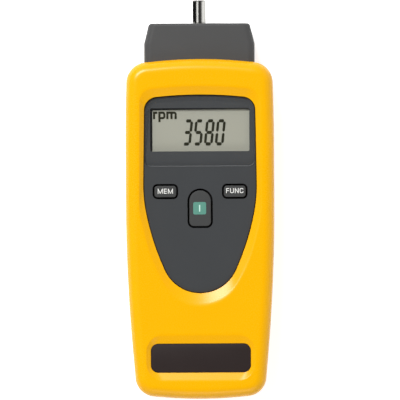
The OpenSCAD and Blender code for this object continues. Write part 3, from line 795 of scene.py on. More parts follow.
@dataclass(frozen=True)
class Layout:
    """Sizes that several sub-assemblies share; y is measured from the body's lower end."""

    lower_end: float
    half_width: float
    thickness: float
    # Body; each end is an arch, and the sides draw in towards both
    parting_z: float = 14.0
    axis_z: float = 14.0
    body_len: float = 137.2
    wall: float = 2.2
    groove: float = 0.3
    side_bend_y: float = 49.0
    side_taper: float = math.radians(5.0)
    side_bend_r: float = 700.0
    low_arch_r: float = 175.0
    low_corner_r: float = 8.0
    top_arch_r: float = 180.0
    top_corner_r: float = 8.5
    top_draw: float = 0.6
    top_bend_drop: float = 24.0
    top_bend_reach: float = 12.0
    # Front panel, the slope round it, and what lies in and behind it
    panel_form: Shield = Shield(
        half=23.0, narrowing=0.6, low=42.6, top=122.8, shoulder_y=80.3, shoulder_r=59.0,
        flank=19.3, flank_r=99.0, nose_r=15.8, nose_angle=math.radians(22.5), corner_r=5.4, arch_r=168.0)
    surround_form: Shield = Shield(
        half=25.0, narrowing=0.4, low=36.8, top=127.0, shoulder_y=73.0, shoulder_r=40.0,
        flank=19.9, flank_r=44.0, nose_r=17.3, nose_angle=math.radians(30.0), corner_r=5.4, arch_r=194.0)
    surround_z: float = 26.5
    panel_z: float = 25.6
    panel_back: float = 23.8
    rim_back: float = 24.4
    glass_z: float = 22.9
    board_z: float = 19.0
    view_w: float = 40.0
    view_h: float = 17.41
    view_y: float = 108.595
    window_low: float = 93.7
    window_inset: float = 0.7
    window_corner_r: float = 2.7
    # Nameplate and the slope round it
    plate_w: float = 40.4
    plate_h: float = 11.8
    plate_r: float = 3.0
    plate_y: float = 16.5
    plate_floor: float = 26.0
    plate_surround_w: float = 44.2
    plate_surround_h: float = 19.8
    plate_surround_r: float = 8.0
    plate_surround_y: float = 16.7
    # Contact head, the opening for it, and the case screws
    head_w: float = 44.6
    head_t: float = 20.0
    head_edge_r: float = 3.0
    head_gap: float = 0.25
    head_mouth: float = 8.0
    block_back: float = 126.4
    screw_high: tuple[float, float] = (23.6, 123.6)
    screw_low: tuple[float, float] = (21.2, 14.0)

    @classmethod
    def from_frame(cls) -> "Layout":
        """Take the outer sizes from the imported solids.

        Returns:
            The layout in millimetres.
        """
        low, high = np.array(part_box("rear_case")) / MM
        front = np.array(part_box("front_case")[1]) / MM
        return cls(lower_end=low[1], half_width=high[0], thickness=front[2])

    @property
    def body(self) -> Outline:
        """Outline of the body: arched ends, round corners, sides that draw in towards both ends.

        Each arch's tangents meet in the middle, beyond the arch by its radius times
        (1 / cos(half its angle) - 1).

        Returns:
            The outline.
        """
        slope = math.tan(self.side_taper)
        top_half = self.half_width - self.top_draw
        top = math.asin((top_half - self.top_corner_r) / self.top_arch_r)
        apex = self.body_len + self.top_arch_r * (1 / math.cos(top) - 1)
        top_y = apex - top_half * math.tan(top)
        bend_y = self.body_len - self.top_bend_drop
        bend = math.atan(self.top_draw / (top_y - bend_y))
        base = self.half_width - self.side_bend_y * slope
        low = math.asin((base - self.low_corner_r) / self.low_arch_r)
        low_y = -self.low_arch_r * (1 / math.cos(low) - 1)
        corner_y = (low_y + math.tan(low) * base) / (1 - math.tan(low) * slope)
        return Outline.mirrored([
            (0.0, low_y, self.low_arch_r),
            (base + corner_y * slope, corner_y, self.low_corner_r),
            (self.half_width, self.side_bend_y, self.side_bend_r),
            (self.half_width, bend_y, self.top_bend_reach / math.tan(bend / 2)),
            (top_half, top_y, self.top_corner_r),
            (0.0, apex, self.top_arch_r)])

    @property
    def panel(self) -> Outline:
        """Outline of the dark front panel."""
        return self.panel_form.outline()

    @property
    def surround(self) -> Outline:
        """Outer outline of the slope round the front panel."""
        return self.surround_form.outline()

    @property
    def plate(self) -> Outline:
        """Outline of the nameplate."""
        return Outline.rectangle(self.plate_w, self.plate_h, self.plate_r, y=self.plate_y)

    @property
    def plate_surround(self) -> Outline:
        """Outer outline of the slope round the nameplate."""
        return Outline.rectangle(self.plate_surround_w, self.plate_surround_h, self.plate_surround_r,
                                 y=self.plate_surround_y)

    def window(self, slope: float = 0.0) -> Outline:
        """Outline of the clear window in the panel's upper half, or of its seat's foot.

        Args:
            slope: how far the seat's foot lies inside the window's upper edge.

        Returns:
            The outline.
        """
        low = (self.panel_form.half - self.window_inset, self.window_low, self.window_corner_r)
        return Outline.mirrored([low, *self.panel_form.arch(self.window_inset + slope)])

    @property
    def screws(self) -> list[tuple[float, float]]:
        """Places of the four case screws."""
        return [(side * x, y) for side in (-1, 1) for x, y in (self.screw_low, self.screw_high)]

    def head_opening(self) -> Surface:
        """Tool that opens the body's upper end for the head: a rounded rectangle carried along the body.

        Returns:
            The tool's surface.
        """
        play = 2 * self.head_gap
        outline = Outline.rectangle(self.head_w + play, self.head_t + play, self.head_edge_r)
        rings = stack(outline, [(self.block_back, 0.0), (self.body_len + self.head_mouth, 0.0)])
        return loft(along_body(rings, self.axis_z))

    def make(self, name: str, surface: Surface, tools: Tools | None = None) -> bpy.types.Object:
        """Put a piece into the scene and carve it.

        Args:
            name: name of the piece.
            surface: its surface.
            tools: what cuts it, joins it or limits it, if anything does.

        Returns:
            The piece.
        """
        piece = new_object(name, surface, self.lower_end)
        if tools:
            carve(piece, tools, self.lower_end)
        return piece


@dataclass(frozen=True)
class FrontCase:
    """Front half of the body with the sloped surrounds of panel and nameplate."""

    plan: Layout
    edge_r: float = 4.6
    support: float = 0.35
    rim_out: float = 0.8
    plate_rim_out: float = 1.4
    plate_rim_t: float = 1.6
    plate_edge_z: float = 26.9
    post_d: float = 5.0
    post_gap: float = 0.2
    hairline: float = 0.01
    slope_breadths: tuple[float, float] = (2.2, 5.0)
    slope_bends: tuple[float, float] = (0.92, 0.68)

    def skin(self) -> Surface:
        """Outer form: the body outline from the parting line up, over a quarter-round edge, to a flat face.

        Returns:
            The surface.
        """
        p = self.plan
        edge = round_edge(p.thickness - self.edge_r, self.edge_r)
        start = [(p.parting_z, p.groove), (p.parting_z + p.groove, 0.0), (edge[0][0] - self.support, 0.0)]
        return loft(stack(p.body, start + edge + [(p.thickness, self.edge_r + self.support)]))

    def cavity(self) -> Surface:
        """Hollow inside the wall: the same form, moved inwards by the wall.

        Returns:
            The tool's surface.
        """
        p = self.plan
        edge = round_edge(p.thickness - self.edge_r, self.edge_r - p.wall, inset=p.wall, steps=PLAIN_STEPS)
        return loft(stack(p.body, [(p.parting_z - PAST, p.wall)] + edge))

    def slope(self, inner: Outline, outer: Outline, floor_z: float, edge_z: float) -> Surface:
        """Tool for a sloped surround.

        A straight wall rises from the floor to the slope's lower edge. From there each point of the inner
        outline runs towards its partner on the outer one: it rises evenly up to the bend, then levels out
        in a parabola with the same slope at its start, and ends in a hairline step. The bend lies nearer
        the end where the slope is narrow.

        Args:
            inner: outline of what lies inside.
            outer: outline of the slope on the front face.
            floor_z: where the wall starts.
            edge_z: height of the slope's lower edge.

        Returns:
            The tool's surface.
        """
        top = self.plan.thickness
        low, high = inner.ring(steps=FINE_STEPS), outer.ring(steps=FINE_STEPS)
        breadth = np.linalg.norm(high - low, axis=1)
        bend = np.interp(breadth, self.slope_breadths, self.slope_bends)
        late = np.linspace(1, 0, EDGE_STEPS + 1)[:, None]
        share = 1 - (1 - bend) * late
        rise = 1 - (1 - bend) / (1 + bend) * late ** 2
        height = edge_z + (top - self.hairline - edge_z) * rise
        flank = np.concatenate([low + share[..., None] * (high - low), height[..., None]], -1)
        rings = [at_height(low, floor_z), at_height(low, edge_z), *flank, at_height(high, top + PAST)]
        return loft(np.stack(rings))

    def build(self) -> None:
        """Build and dress the front case."""
        p = self.plan
        foot, inside = p.parting_z + self.post_gap, p.thickness - p.wall + ROOT
        plate_back = p.plate_floor - self.plate_rim_t
        tools = [(Carve.CUT, self.cavity()),
                 (Carve.JOIN, prism(p.surround, p.rim_back, inside, -self.rim_out)),
                 (Carve.JOIN, prism(p.plate, plate_back, inside, -self.plate_rim_out))]
        tools += [(Carve.JOIN, rod(x, y, self.post_d, foot, inside)) for x, y in p.screws]
        tools += [(Carve.CUT, self.slope(p.panel, p.surround, p.rim_back - PAST, p.surround_z)),
                  (Carve.CUT, self.slope(p.plate, p.plate_surround, p.plate_floor, self.plate_edge_z)),
                  (Carve.CUT, p.head_opening())]
        piece = p.make("front_shell", self.skin(), tools)
        dress(piece, YELLOW, Body.INSTRUMENT, ("front_case",))


@dataclass(frozen=True)
class RearCase:
    """Rear half of the body with the battery compartment, and the sliding cover over it."""

    plan: Layout
    edge_r: float = 4.0
    support: float = 0.35
    # Battery cover, a plate with a tongue along each side
    door_half: float = 15.5
    door_len: float = 60.0
    door_recess: float = 0.3
    door_z: float = 1.4
    door_top: float = 2.45
    tongue_out: float = 1.15
    gap: float = 0.2
    # Battery compartment
    tub_low: float = 4.675
    tub_roof: float = 17.45
    tub_wall: float = 1.6
    tub_end: float = 1.4
    tub_spare: float = 1.0
    # Screw posts, pegs under the board, and the screws' holes
    post_d: float = 7.2
    peg_d: float = 4.0
    peg_x: float = 18.0
    peg_z: float = 17.2
    screw_head_d: float = 4.6
    screw_head_z: float = 5.0
    shank_d: float = 2.6
    shank_z: float = 4.0
    # Finger grooves in the cover
    grooves: int = 5
    groove_y: float = 12.6
    groove_pitch: float = 2.6
    groove_w: float = 14.0
    groove_h: float = 1.2
    groove_r: float = 0.5
    groove_depth: float = 0.5
    groove_flare: float = 0.2
    groove_draw: float = 0.1

    def skin(self) -> Surface:
        """Outer form: a flat back, a quarter-round edge and the body outline up to the parting line.

        Returns:
            The surface.
        """
        p = self.plan
        edge = round_edge(self.edge_r, self.edge_r, up=-1)[::-1]
        end = [(self.edge_r + self.support, 0.0), (p.parting_z - p.groove, 0.0), (p.parting_z, p.groove)]
        return loft(stack(p.body, [(0.0, self.edge_r + self.support)] + edge + end))

    def cavity(self) -> Surface:
        """Hollow inside the wall, open at the parting line.

        Returns:
            The tool's surface.
        """
        p = self.plan
        edge = round_edge(self.edge_r, self.edge_r - p.wall, up=-1, inset=p.wall, steps=PLAIN_STEPS)[::-1]
        return loft(stack(p.body, edge + [(p.parting_z + PAST, p.wall)]))

    def door_section(self, gap: float, low: float) -> Surface:
        """Section of the cover, a plate with a tongue along each side, carried along the body.

        Args:
            gap: play round the section.
            low: height at which its outer face starts.

        Returns:
            The surface.
        """
        inner, outer = self.door_half + gap, self.door_half + self.tongue_out + gap
        x = np.array([-inner, inner, inner, outer, outer, -outer, -outer, -inner])
        bottom, top = self.door_z - gap, self.door_top + gap
        z = np.array([low, low, bottom, bottom, top, top, bottom, bottom])
        rings = [np.column_stack([x, np.full(len(x), y), z]) for y in (-PAST, self.door_len + gap)]
        return loft(np.stack(rings))

    def build_shell(self) -> None:
        """Build and dress the rear case."""
        p = self.plan
        inner = self.door_half + 2 * self.gap
        outer, top, floor = inner + self.tub_wall, self.door_len + self.tub_spare, p.wall - ROOT
        tools = [(Carve.CUT, self.cavity()),
                 (Carve.JOIN, block((-outer, self.tub_low - self.tub_end, floor),
                                    (outer, top + self.tub_wall, self.tub_roof + self.tub_wall))),
                 (Carve.JOIN, block((-outer, p.wall, floor),
                                    (outer, self.tub_low, p.parting_z - self.gap)))]
        tools += [(Carve.JOIN, rod(x, y, self.post_d, p.wall / 2, p.parting_z)) for x, y in p.screws]
        tools += [(Carve.JOIN, rod(x, p.view_y, self.peg_d, floor, self.peg_z))
                  for x in (-self.peg_x, self.peg_x)]
        tools += [(Carve.CUT, block((-inner, self.tub_low, self.door_z), (inner, top, self.tub_roof))),
                  (Carve.CUT, self.door_section(self.gap, -PAST)),
                  (Carve.CUT, p.head_opening())]
        tools += [(Carve.CUT, rod(x, y, self.screw_head_d, -PAST, self.screw_head_z)) for x, y in p.screws]
        tools += [(Carve.CUT, rod(x, y, self.shank_d, self.shank_z, p.thickness)) for x, y in p.screws]
        piece = p.make("rear_shell", self.skin(), tools)
        dress(piece, YELLOW, Body.INSTRUMENT, ("rear_case",))

    def build_cover(self) -> None:
        """Build and dress the sliding cover with its row of finger grooves."""
        face, flare = self.door_recess, -self.groove_flare
        levels = [(-self.groove_depth, flare), (face, flare), (face + self.groove_depth, self.groove_draw)]
        tools = [(Carve.KEEP, self.door_section(0.0, face))]
        for count in range(self.grooves):
            y = self.groove_y + self.groove_pitch * count
            groove = Outline.rectangle(self.groove_w, self.groove_h, self.groove_r, y=y)
            tools.append((Carve.CUT, loft(stack(groove, levels))))
        piece = self.plan.make("battery_cover_plate", self.skin(), tools)
        dress(piece, YELLOW, Body.BATTERY_COVER, ("battery_door",))


@dataclass(frozen=True)
class FrontPanel:
    """Dark panel with its openings, the clear window in it and the nameplate below it."""

    plan: Layout
    # Panel
    gap: float = 0.18
    edge_r: float = 0.3
    level: float = 0.2
    flange_gap: float = 0.1
    flange_t: float = 1.1
    flange_out: float = 1.8
    wall: float = 1.2
    key_gap: float = 0.65
    screw_clear: float = 5.4
    view_r: float = 0.6
    glass_margin: float = 1.0
    glass_r: float = 0.4
    glass_play: float = 0.2
    hair: float = 0.001
    frame_depth: float = 0.8
    pillar_d: float = 5.0
    pillars: tuple[tuple[float, float], ...] = ((19.0, 92.4), (15.5, 72.05))
    # Window and its seat
    slope: float = 1.8
    rim: float = 0.3
    seat_depth: float = 1.0
    window_depth: float = 0.97
    window_gap: float = 0.12
    window_play: float = 0.03
    window_edge_r: float = 0.18
    # Nameplate
    plate_gap: float = 0.1
    plate_edge_z: float = 26.5
    plate_edge_r: float = 0.2

    def build_panel(self, keys: list[Outline]) -> None:
        """Build and dress the panel.

        Args:
            keys: outlines of the keys that pass through it.
        """
        p = self.plan
        edge = round_edge(p.panel_z - self.edge_r, self.edge_r, inset=self.gap, steps=SMALL_STEPS)
        flange, root = p.rim_back - self.flange_gap, p.panel_back + ROOT
        levels = [(flange - self.flange_t, -self.flange_out), (flange, -self.flange_out),
                  (flange, self.gap), *edge, (p.panel_z, self.gap + self.edge_r + self.level)]
        view = Outline.rectangle(p.view_w, p.view_h, self.view_r, y=p.view_y)
        margin, inner = 2 * self.glass_margin, self.gap + self.wall
        hollow = stack(p.panel, [(p.board_z, inner), (p.panel_back, inner)], FINE_STEPS)
        glass = Outline.rectangle(p.view_w + margin, p.view_h + margin, self.glass_r, y=p.view_y)
        seat = [stack(p.window(self.slope), [(p.panel_z - self.seat_depth, 0.0)], FINE_STEPS),
                stack(p.window(), [(p.panel_z - self.rim, 0.0), (p.thickness, 0.0)], FINE_STEPS)]
        tools = [(Carve.CUT, loft(hollow)),
                 (Carve.CUT, prism(glass, p.board_z, p.panel_back + self.hair, -self.glass_play)),
                 (Carve.JOIN, prism(glass, p.panel_back - self.frame_depth, root))]
        tools += [(Carve.JOIN, rod(side * x, y, self.pillar_d, p.board_z, root))
                  for side in (-1, 1) for x, y in self.pillars]
        tools += [(Carve.CUT, prism(key, p.board_z, p.thickness, -self.key_gap)) for key in keys]
        tools += [(Carve.CUT, prism(view, p.board_z, p.thickness)),
                  (Carve.CUT, loft(np.concatenate(seat)))]
        tools += [(Carve.CUT, rod(x, y, self.screw_clear, p.board_z, p.thickness))
                  for x, y in p.screws if y > p.view_y]
        piece = p.make("front_panel", loft(stack(p.panel, levels, FINE_STEPS)), tools)
        dress(piece, DARK_PANEL, Body.INSTRUMENT, ("fascia",))
        # Painted shade: the panel's rounded outer edge takes the dark brown finish in place of the shade at
        # its gap.
        paint_edge_shade_or_highlight(piece, PANEL_EDGE_SHADE, low=0.05, high=0.9, above=p.panel_z - self.edge_r)

    def build_window(self) -> None:
        """Build and dress the clear window: a thin plate whose rounded upper edge carries a painted
        highlight along its lower and right sides.
        """
        p = self.plan
        gap, edge_r = self.window_gap, self.window_edge_r
        edge = round_edge(p.panel_z - edge_r, edge_r, inset=gap, steps=SMALL_STEPS)
        back = stack(p.window(self.slope), [(p.panel_z - self.window_depth, gap)], FINE_STEPS)
        front = stack(p.window(), [(p.panel_z - self.rim + self.window_play, gap)] + edge, FINE_STEPS)
        piece = p.make("window_plate", loft(np.concatenate([back, front])))
        dress(piece, WINDOW, Body.INSTRUMENT, ("display_window",))
        # Painted highlight: faces of the rounded edge that face down and not left take the pale edge finish.
        paint_edge_shade_or_highlight(piece, WINDOW_EDGE_HIGHLIGHT, low=0.1, high=0.99, ahead=-0.1, right=-0.1)

    def build_nameplate(self) -> None:
        """Build and dress the bare nameplate: a thin plate with a rounded upper edge."""
        p = self.plan
        edge = round_edge(self.plate_edge_z, self.plate_edge_r, inset=self.plate_gap, steps=SMALL_STEPS)
        piece = p.make("bare_plate", loft(stack(p.plate, [(p.plate_floor, self.plate_gap)] + edge)))
        dress(piece, NAMEPLATE, Body.INSTRUMENT, ("nameplate",))


@dataclass(frozen=True)
class Lettering:
    """Words of plain letters, each a thin plate with gaps cut out of it.

    Attributes:
        height: height of capitals, or of small letters without their tails.
        stroke: breadth of the strokes.
        bend: outer radius of round corners.
        space: space between letters.
        tail: how far a tail hangs below the line.
        thick: thickness of the letters.
        past: how far a gap reaches past the letter.
        over: how far a gap reaches past its faces.
        mouth: shares of the height between which a C is open.
    """

    height: float
    stroke: float
    bend: float
    space: float
    tail: float = 0.0
    thick: float = 0.03
    past: float = 1.0
    over: float = 0.1
    mouth: tuple[float, float] = (0.32, 0.68)

    @staticmethod
    def box(left: float, low: float, right: float, top: float, *radii: float) -> list[Corner]:
        """List a box's corners; radii, if any, start at the lower left and run anticlockwise."""
        places = [(left, low), (right, low), (right, top), (left, top)]
        return [(*place, radius) for place, radius in zip(places, radii or (0.0,) * 4)]

    def slanted(self, letter: str, w: float) -> list[list[Corner]]:
        """List the outlines of M or N, whose slanted strokes run from a stem's upper end to the line.

        Args:
            letter: M or N.
            w: its width.

        Returns:
            Corners of the letter's outline, then of each gap.
        """
        h, s, low, top = self.height, self.stroke, -self.past, self.height + self.past
        run = (w - s) / 2 if letter == "M" else w - s
        more = run * self.past / h
        valley, peak = h * s / (w - s), h * (1 - s / run)
        left_gap = [(s, low, 0.0), (run + more, low, 0.0), (s, peak, 0.0)]
        if letter == "N":
            gaps = [left_gap, [(w - s, valley, 0.0), (w - s, top, 0.0), (s - more, top, 0.0)]]
        else:
            gaps = [left_gap, [(w - s, low, 0.0), (w - s, peak, 0.0), (w - run - more, low, 0.0)],
                    [(w / 2, valley, 0.0), (w - s + more, top, 0.0), (s - more, top, 0.0)]]
        return [self.box(0.0, 0.0, w, h), *gaps]

    def outlines(self, letter: str, w: float) -> list[list[Corner]]:
        """List the outlines that make a letter.

        Args:
            letter: the letter.
            w: its width.

        Returns:
            Corners of the letter's outline, then of each gap.
        """
        h, s, r, box = self.height, self.stroke, self.bend, self.box
        inner, middle = max(r - s, 0.0), (w - s) / 2
        low, end, top = -self.past, w + self.past, h + self.past
        if letter in "MN":
            return self.slanted(letter, w)
        upper_gap = box(s, (h + s) / 2, end, h - s)
        table = {
            "E": [box(0, 0, w, h), upper_gap, box(s, s, end, (h - s) / 2)],
            "F": [box(0, 0, w, h), upper_gap, box(s, low, end, (h - s) / 2)],
            "U": [box(0, 0, w, h, r, r, 0, 0), box(s, s, w - s, top, inner, inner, 0, 0)],
            "C": [box(0, 0, w, h, r, r, r, r), box(s, s, w - s, h - s, inner, inner, inner, inner),
                  box(w / 2, h * self.mouth[0], end, h * self.mouth[1])],
            "r": [box(0, 0, w, h, 0, 0, s / 2, 0), box(s, low, end, h - s)],
            "p": [[(0, -self.tail, 0), (s, -self.tail, 0), (s, 0, 0), (w, 0, r), (w, h, r), (0, h, 0)],
                  box(s, s, w - s, h - s, 0, inner, inner, 0)],
            "m": [box(0, 0, w, h, 0, 0, r, 0), box(s, low, middle, h - s, 0, 0, inner, 0),
                  box(middle + s, low, w - s, h - s, 0, 0, inner, 0)]}
        return table[letter]

    def build(self, name: str, letters: tuple[tuple[str, float], ...], place: Point,
              plan: Layout) -> bpy.types.Object:
        """Write letters as one thin piece.

        Args:
            name: name of the piece.
            letters: each letter and its width.
            place: left end and height of the letters' line, and height of their foot.
            plan: the layout that they belong to.

        Returns:
            The piece.
        """
        x, y, z = place
        plates = []
        for letter, width in letters:
            for count, corners in enumerate(self.outlines(letter, width)):
                kind, over = (Carve.CUT, self.over) if count else (Carve.JOIN, 0.0)
                outline = Outline(np.array(corners) + [x, y, 0])
                plates.append((kind, prism(outline, z - over, z + self.thick + over)))
            x += width + self.space
        return plan.make(name, plates[0][1], plates[1:])


@dataclass(frozen=True)
class Reading:
    """What the display shows: a row of seven-segment digits, the unit and the dark mask round them, which is
    partly painted shade.
    """

    plan: Layout
    digits: str = "3580"
    height: float = 10.6
    width: float = 2.55
    stroke: float = 1.04
    bar: float = 1.3
    blunt: float = 0.55
    pitch: float = 4.4
    slant: float = math.tan(math.radians(6.0))
    split: float = 0.16
    first_x: float = -6.75
    low_y: float = 102.2
    lift: float = 0.02
    thick: float = 0.03
    mask_spare: float = 0.8
    mask_r: float = 0.4
    # The mask's strips at the left and above, widest at the upper left, are partly painted shade along the
    # opening's edges.
    mask_shade_left: float = 0.88
    mask_shade_top: tuple[float, float] = (0.82, 0.28)
    unit_place: tuple[float, float] = (-18.84, 112.9)
    unit_widths: tuple[tuple[str, float], ...] = (("r", 1.8), ("p", 2.85), ("m", 4.2))
    letters: Lettering = Lettering(height=3.05, stroke=0.87, bend=1.1, space=0.36, tail=1.18)

    @property
    def heights(self) -> tuple[float, float]:
        """Foot and face of the thin plates on the display glass."""
        foot = self.plan.glass_z + self.lift
        return foot, foot + self.thick

    def lit(self) -> Array:
        """Choose the lit segments.

        Returns:
            Rows of digit number and segment number; the segments run a to g.
        """
        table = {"0": "abcdef", "3": "abcdg", "5": "acdfg", "8": "abcdefg"}
        return np.array([(i, "abcdefg".index(s)) for i, d in enumerate(self.digits) for s in table[d]])

    def outlines(self) -> Array:
        """Work out the six corners of every lit segment.

        A segment is a bar with pointed ends from one node of the digit's frame to the next; half its
        breadth is put off to each side, and the ends draw back by the split. Level segments are broader and
        blunter than upright ones. The whole digit then leans by the slant.

        Returns:
            Segments by six corners by x and y.
        """
        w, h = self.width, self.height - self.bar
        start = np.array([(0, h), (w, h / 2), (w, 0), (0, 0), (0, 0), (0, h / 2), (0, h / 2)])
        end = np.array([(w, h), (w, h), (w, h / 2), (w, 0), (0, h / 2), (0, h), (w, h / 2)])
        lit = self.lit()
        a, b = start[lit[:, 1]], end[lit[:, 1]]
        along = unit(b - a)[:, None]
        level = np.abs(along[..., :1]) > np.abs(along[..., 1:])
        half = np.where(level, self.bar, self.stroke) / 2
        across = along[..., ::-1] * [-1, 1] * half
        back = along * half * np.where(level, self.blunt, 1.0)
        gap = along * self.split
        a, b = a[:, None] + gap, b[:, None] - gap
        corners = np.concatenate([a, a + back - across, b - back - across,
                                  b, b - back + across, a + back + across], 1) + [0, self.bar / 2]
        x = corners[..., 0] + corners[..., 1] * self.slant + (self.first_x + self.pitch * lit[:, :1])
        return np.stack([x, corners[..., 1] + self.low_y], -1)

    def build_digits(self) -> None:
        """Build and dress the digits as thin plates on the display glass."""
        bars = [loft(np.stack([at_height(corners, z) for z in self.heights]))
                for corners in self.outlines()]
        piece = self.plan.make("display_digits", sum(bars[1:], bars[0]))
        dress(piece, SEGMENT, Body.INSTRUMENT)

    def build_mask_shade(self) -> None:
        """Build and dress the dark mask round the reading: a flat frame that shows at the left and above,
        partly a printed mask and partly painted shade where the opening's shadow falls.

        The frame is a closed ring of four outlines: outer and inner, each at its foot and its face. The
        inner one reaches past the panel's opening at the right and below, and its upper edge slants.
        """
        p, spare = self.plan, self.mask_spare
        outer = Outline.rectangle(p.view_w + 2 * spare, p.view_h + 2 * spare, self.mask_r, y=p.view_y)
        left, right = self.mask_shade_left - p.view_w / 2, p.view_w / 2 + spare / 2
        bottom, top = p.view_y - p.view_h / 2 - spare / 2, p.view_y + p.view_h / 2
        places = [(left, bottom), (right, bottom),
                  (right, top - self.mask_shade_top[1]), (left, top - self.mask_shade_top[0])]
        inner = Outline(np.array([(x, y, self.mask_r) for x, y in places]))
        low, high = self.heights
        rings = [at_height(outer.ring(), low), at_height(outer.ring(), high),
                 at_height(inner.ring(), high), at_height(inner.ring(), low)]
        piece = p.make("display_mask_shade", closed_loft(np.stack(rings)))
        dress(piece, MASK_SHADE, Body.INSTRUMENT)

    def build_unit(self) -> None:
        """Build and dress the unit's letters in the upper left corner of the display."""
        place = (*self.unit_place, self.heights[0])
        piece = self.letters.build("display_unit", self.unit_widths, place, self.plan)
        dress(piece, SEGMENT, Body.INSTRUMENT)


@dataclass(frozen=True)
class Key:
    """One key: a flange behind the panel and a crowned cap that stands out of it."""

    plan: Layout
    name: str
    node: str
    body: Body
    outline: Outline
    back_z: float = 22.9
    top_z: float = 26.3
    edge_r: float = 0.45
    crown: float = 0.1
    flange_out: float = 1.35
    flange_t: float = 0.7
    face_rings: int = 8
    patch_rings: int = 4
    patch_sink: float = 0.05

    def half_sizes(self) -> tuple[Array, Array]:
        """Centre of the key and half its sizes."""
        at = self.outline.corners[:, :2]
        return (at.min(0) + at.max(0)) / 2, (at.max(0) - at.min(0)) / 2

    def crown_z(self, flat: Array) -> Array:
        """Height of the cap's face: the crown falls off as (1 - x^2)(1 - y^2) from the middle to the edges.

        Args:
            flat: points of x and y.

        Returns:
            The height at each.
        """
        centre, half = self.half_sizes()
        share = np.clip((flat - centre) / (half - self.edge_r), -1, 1)
        return self.top_z - self.crown + self.crown * (1 - share ** 2).prod(-1)

    def build(self) -> None:
        """Build and dress the key: flange, wall, rounded edge and rings that shrink to the middle."""
        wall_z = self.top_z - self.crown - self.edge_r
        levels = [(self.back_z, -self.flange_out), (self.back_z + self.flange_t, -self.flange_out),
                  (self.back_z + self.flange_t, 0.0)] + round_edge(wall_z, self.edge_r, steps=PLAIN_STEPS)
        rings = stack(self.outline, levels)
        rim, centre = rings[-1][:, :2], self.half_sizes()[0]
        shrink = np.linspace(1, 0, self.face_rings + 1)[1:-1]
        flats = centre + shrink[:, None, None] * (rim - centre)
        face = np.concatenate([flats, self.crown_z(flats)[..., None]], -1)
        piece = self.plan.make(self.name, loft(np.concatenate([rings, face]), Cap.POINT))
        dress(piece, KEY_GREY, self.body, (self.node,))
        # Painted shade: the key's wall, rounded edge and flange are made near black for the shade in the gap
        # round it.
        paint_edge_shade_or_highlight(piece, KEY_GAP_SHADE, low=-0.05, high=0.75, below=wall_z)

    def patch(self, name: str, outline: Outline, finish: Finish, lift: float) -> None:
        """Lay a thin printed patch on the crown: a low rim, and rings that shrink to the middle.

        Args:
            name: name of the patch.
            outline: its outline.
            finish: its finish.
            lift: how far its face stands above the key.
        """
        rim = outline.ring(steps=PLAIN_STEPS)
        centre = rim.mean(0)
        shrink = np.append(1, np.linspace(1, 0, self.patch_rings + 1)[:-1])
        flats = centre + shrink[:, None, None] * (rim - centre)
        rise = np.append(-self.patch_sink, np.full(self.patch_rings, lift))[:, None]
        rings = np.concatenate([flats, (self.crown_z(flats) + rise)[..., None]], -1)
        piece = self.plan.make(name, loft(rings, Cap.POINT))
        dress(piece, finish, self.body)


@dataclass(frozen=True)
class Keypad:
    """The two small keys and the measuring key, with their marks."""

    plan: Layout
    small_w: float = 9.0
    small_h: float = 4.8
    small_r: float = 1.3
    small_x: float = 14.0
    small_y: float = 83.7
    measure_w: float = 8.9
    measure_h: float = 14.6
    measure_y: float = 76.9
    measure_r: float = 1.9
    crown_spare: float = 0.05
    # Green mark and the stroke on it: width, height and corner radius
    mark_x: float = -0.2
    square: tuple[float, float, float] = (5.2, 5.0, 0.7)
    square_lift: float = 0.03
    upright: tuple[float, float, float] = (0.46, 2.7, 0.1)
    upright_lift: float = 0.05
    # Words on the small keys, with the width of each letter
    letters: Lettering = Lettering(height=2.0, stroke=0.31, bend=0.55, space=0.4)
    mem_widths: tuple[tuple[str, float], ...] = (("M", 2.05), ("E", 1.25), ("M", 2.05))
    func_widths: tuple[tuple[str, float], ...] = (("F", 1.2), ("U", 1.52), ("N", 1.55), ("C", 1.52))
    word_lift: float = 0.15
    func_lift: float = 0.1
    word_sink: float = 0.01

    def keys(self) -> list[Key]:
        """List the keys.

        Returns:
            Memory key, function key and measuring key.
        """
        left, right = (Outline.rectangle(self.small_w, self.small_h, self.small_r, x, self.small_y)
                       for x in (-self.small_x, self.small_x))
        w, h = self.measure_w / 2, self.measure_h / 2
        low, top, crown = self.measure_y - h, self.measure_y + h, w - self.crown_spare
        middle = Outline(np.array([(-w, low, self.measure_r), (w, low, self.measure_r),
                                   (w, top, crown), (-w, top, crown)]))
        return [Key(self.plan, "mem_cap", "mem_button", Body.MEM_KEY, left),
                Key(self.plan, "func_cap", "func_button", Body.FUNC_KEY, right),
                Key(self.plan, "measure_cap", "measure_button", Body.MEASURE_KEY, middle)]

    def build(self) -> None:
        """Build and dress the keys, their words, and the green mark with its stroke."""
        mem, func, measure = self.keys()
        for key in (mem, func, measure):
            key.build()
        for key, widths, lift in ((mem, self.mem_widths, 0.0), (func, self.func_widths, self.func_lift)):
            words = "".join(letter for letter, _ in widths)
            length = sum(width for _, width in widths) + self.letters.space * (len(widths) - 1)
            x, y = key.half_sizes()[0] - [length / 2, self.letters.height / 2 - self.word_lift - lift]
            place = (x, y, key.top_z - self.word_sink)
            piece = self.letters.build(f"{words.lower()}_legend", widths, place, self.plan)
            dress(piece, PRINT, key.body)
        for name, size, finish, lift in (("measure_square", self.square, GREEN, self.square_lift),
                                         ("measure_stroke", self.upright, PALE_PRINT, self.upright_lift)):
            measure.patch(name, Outline.rectangle(*size, self.mark_x, self.measure_y), finish, lift)


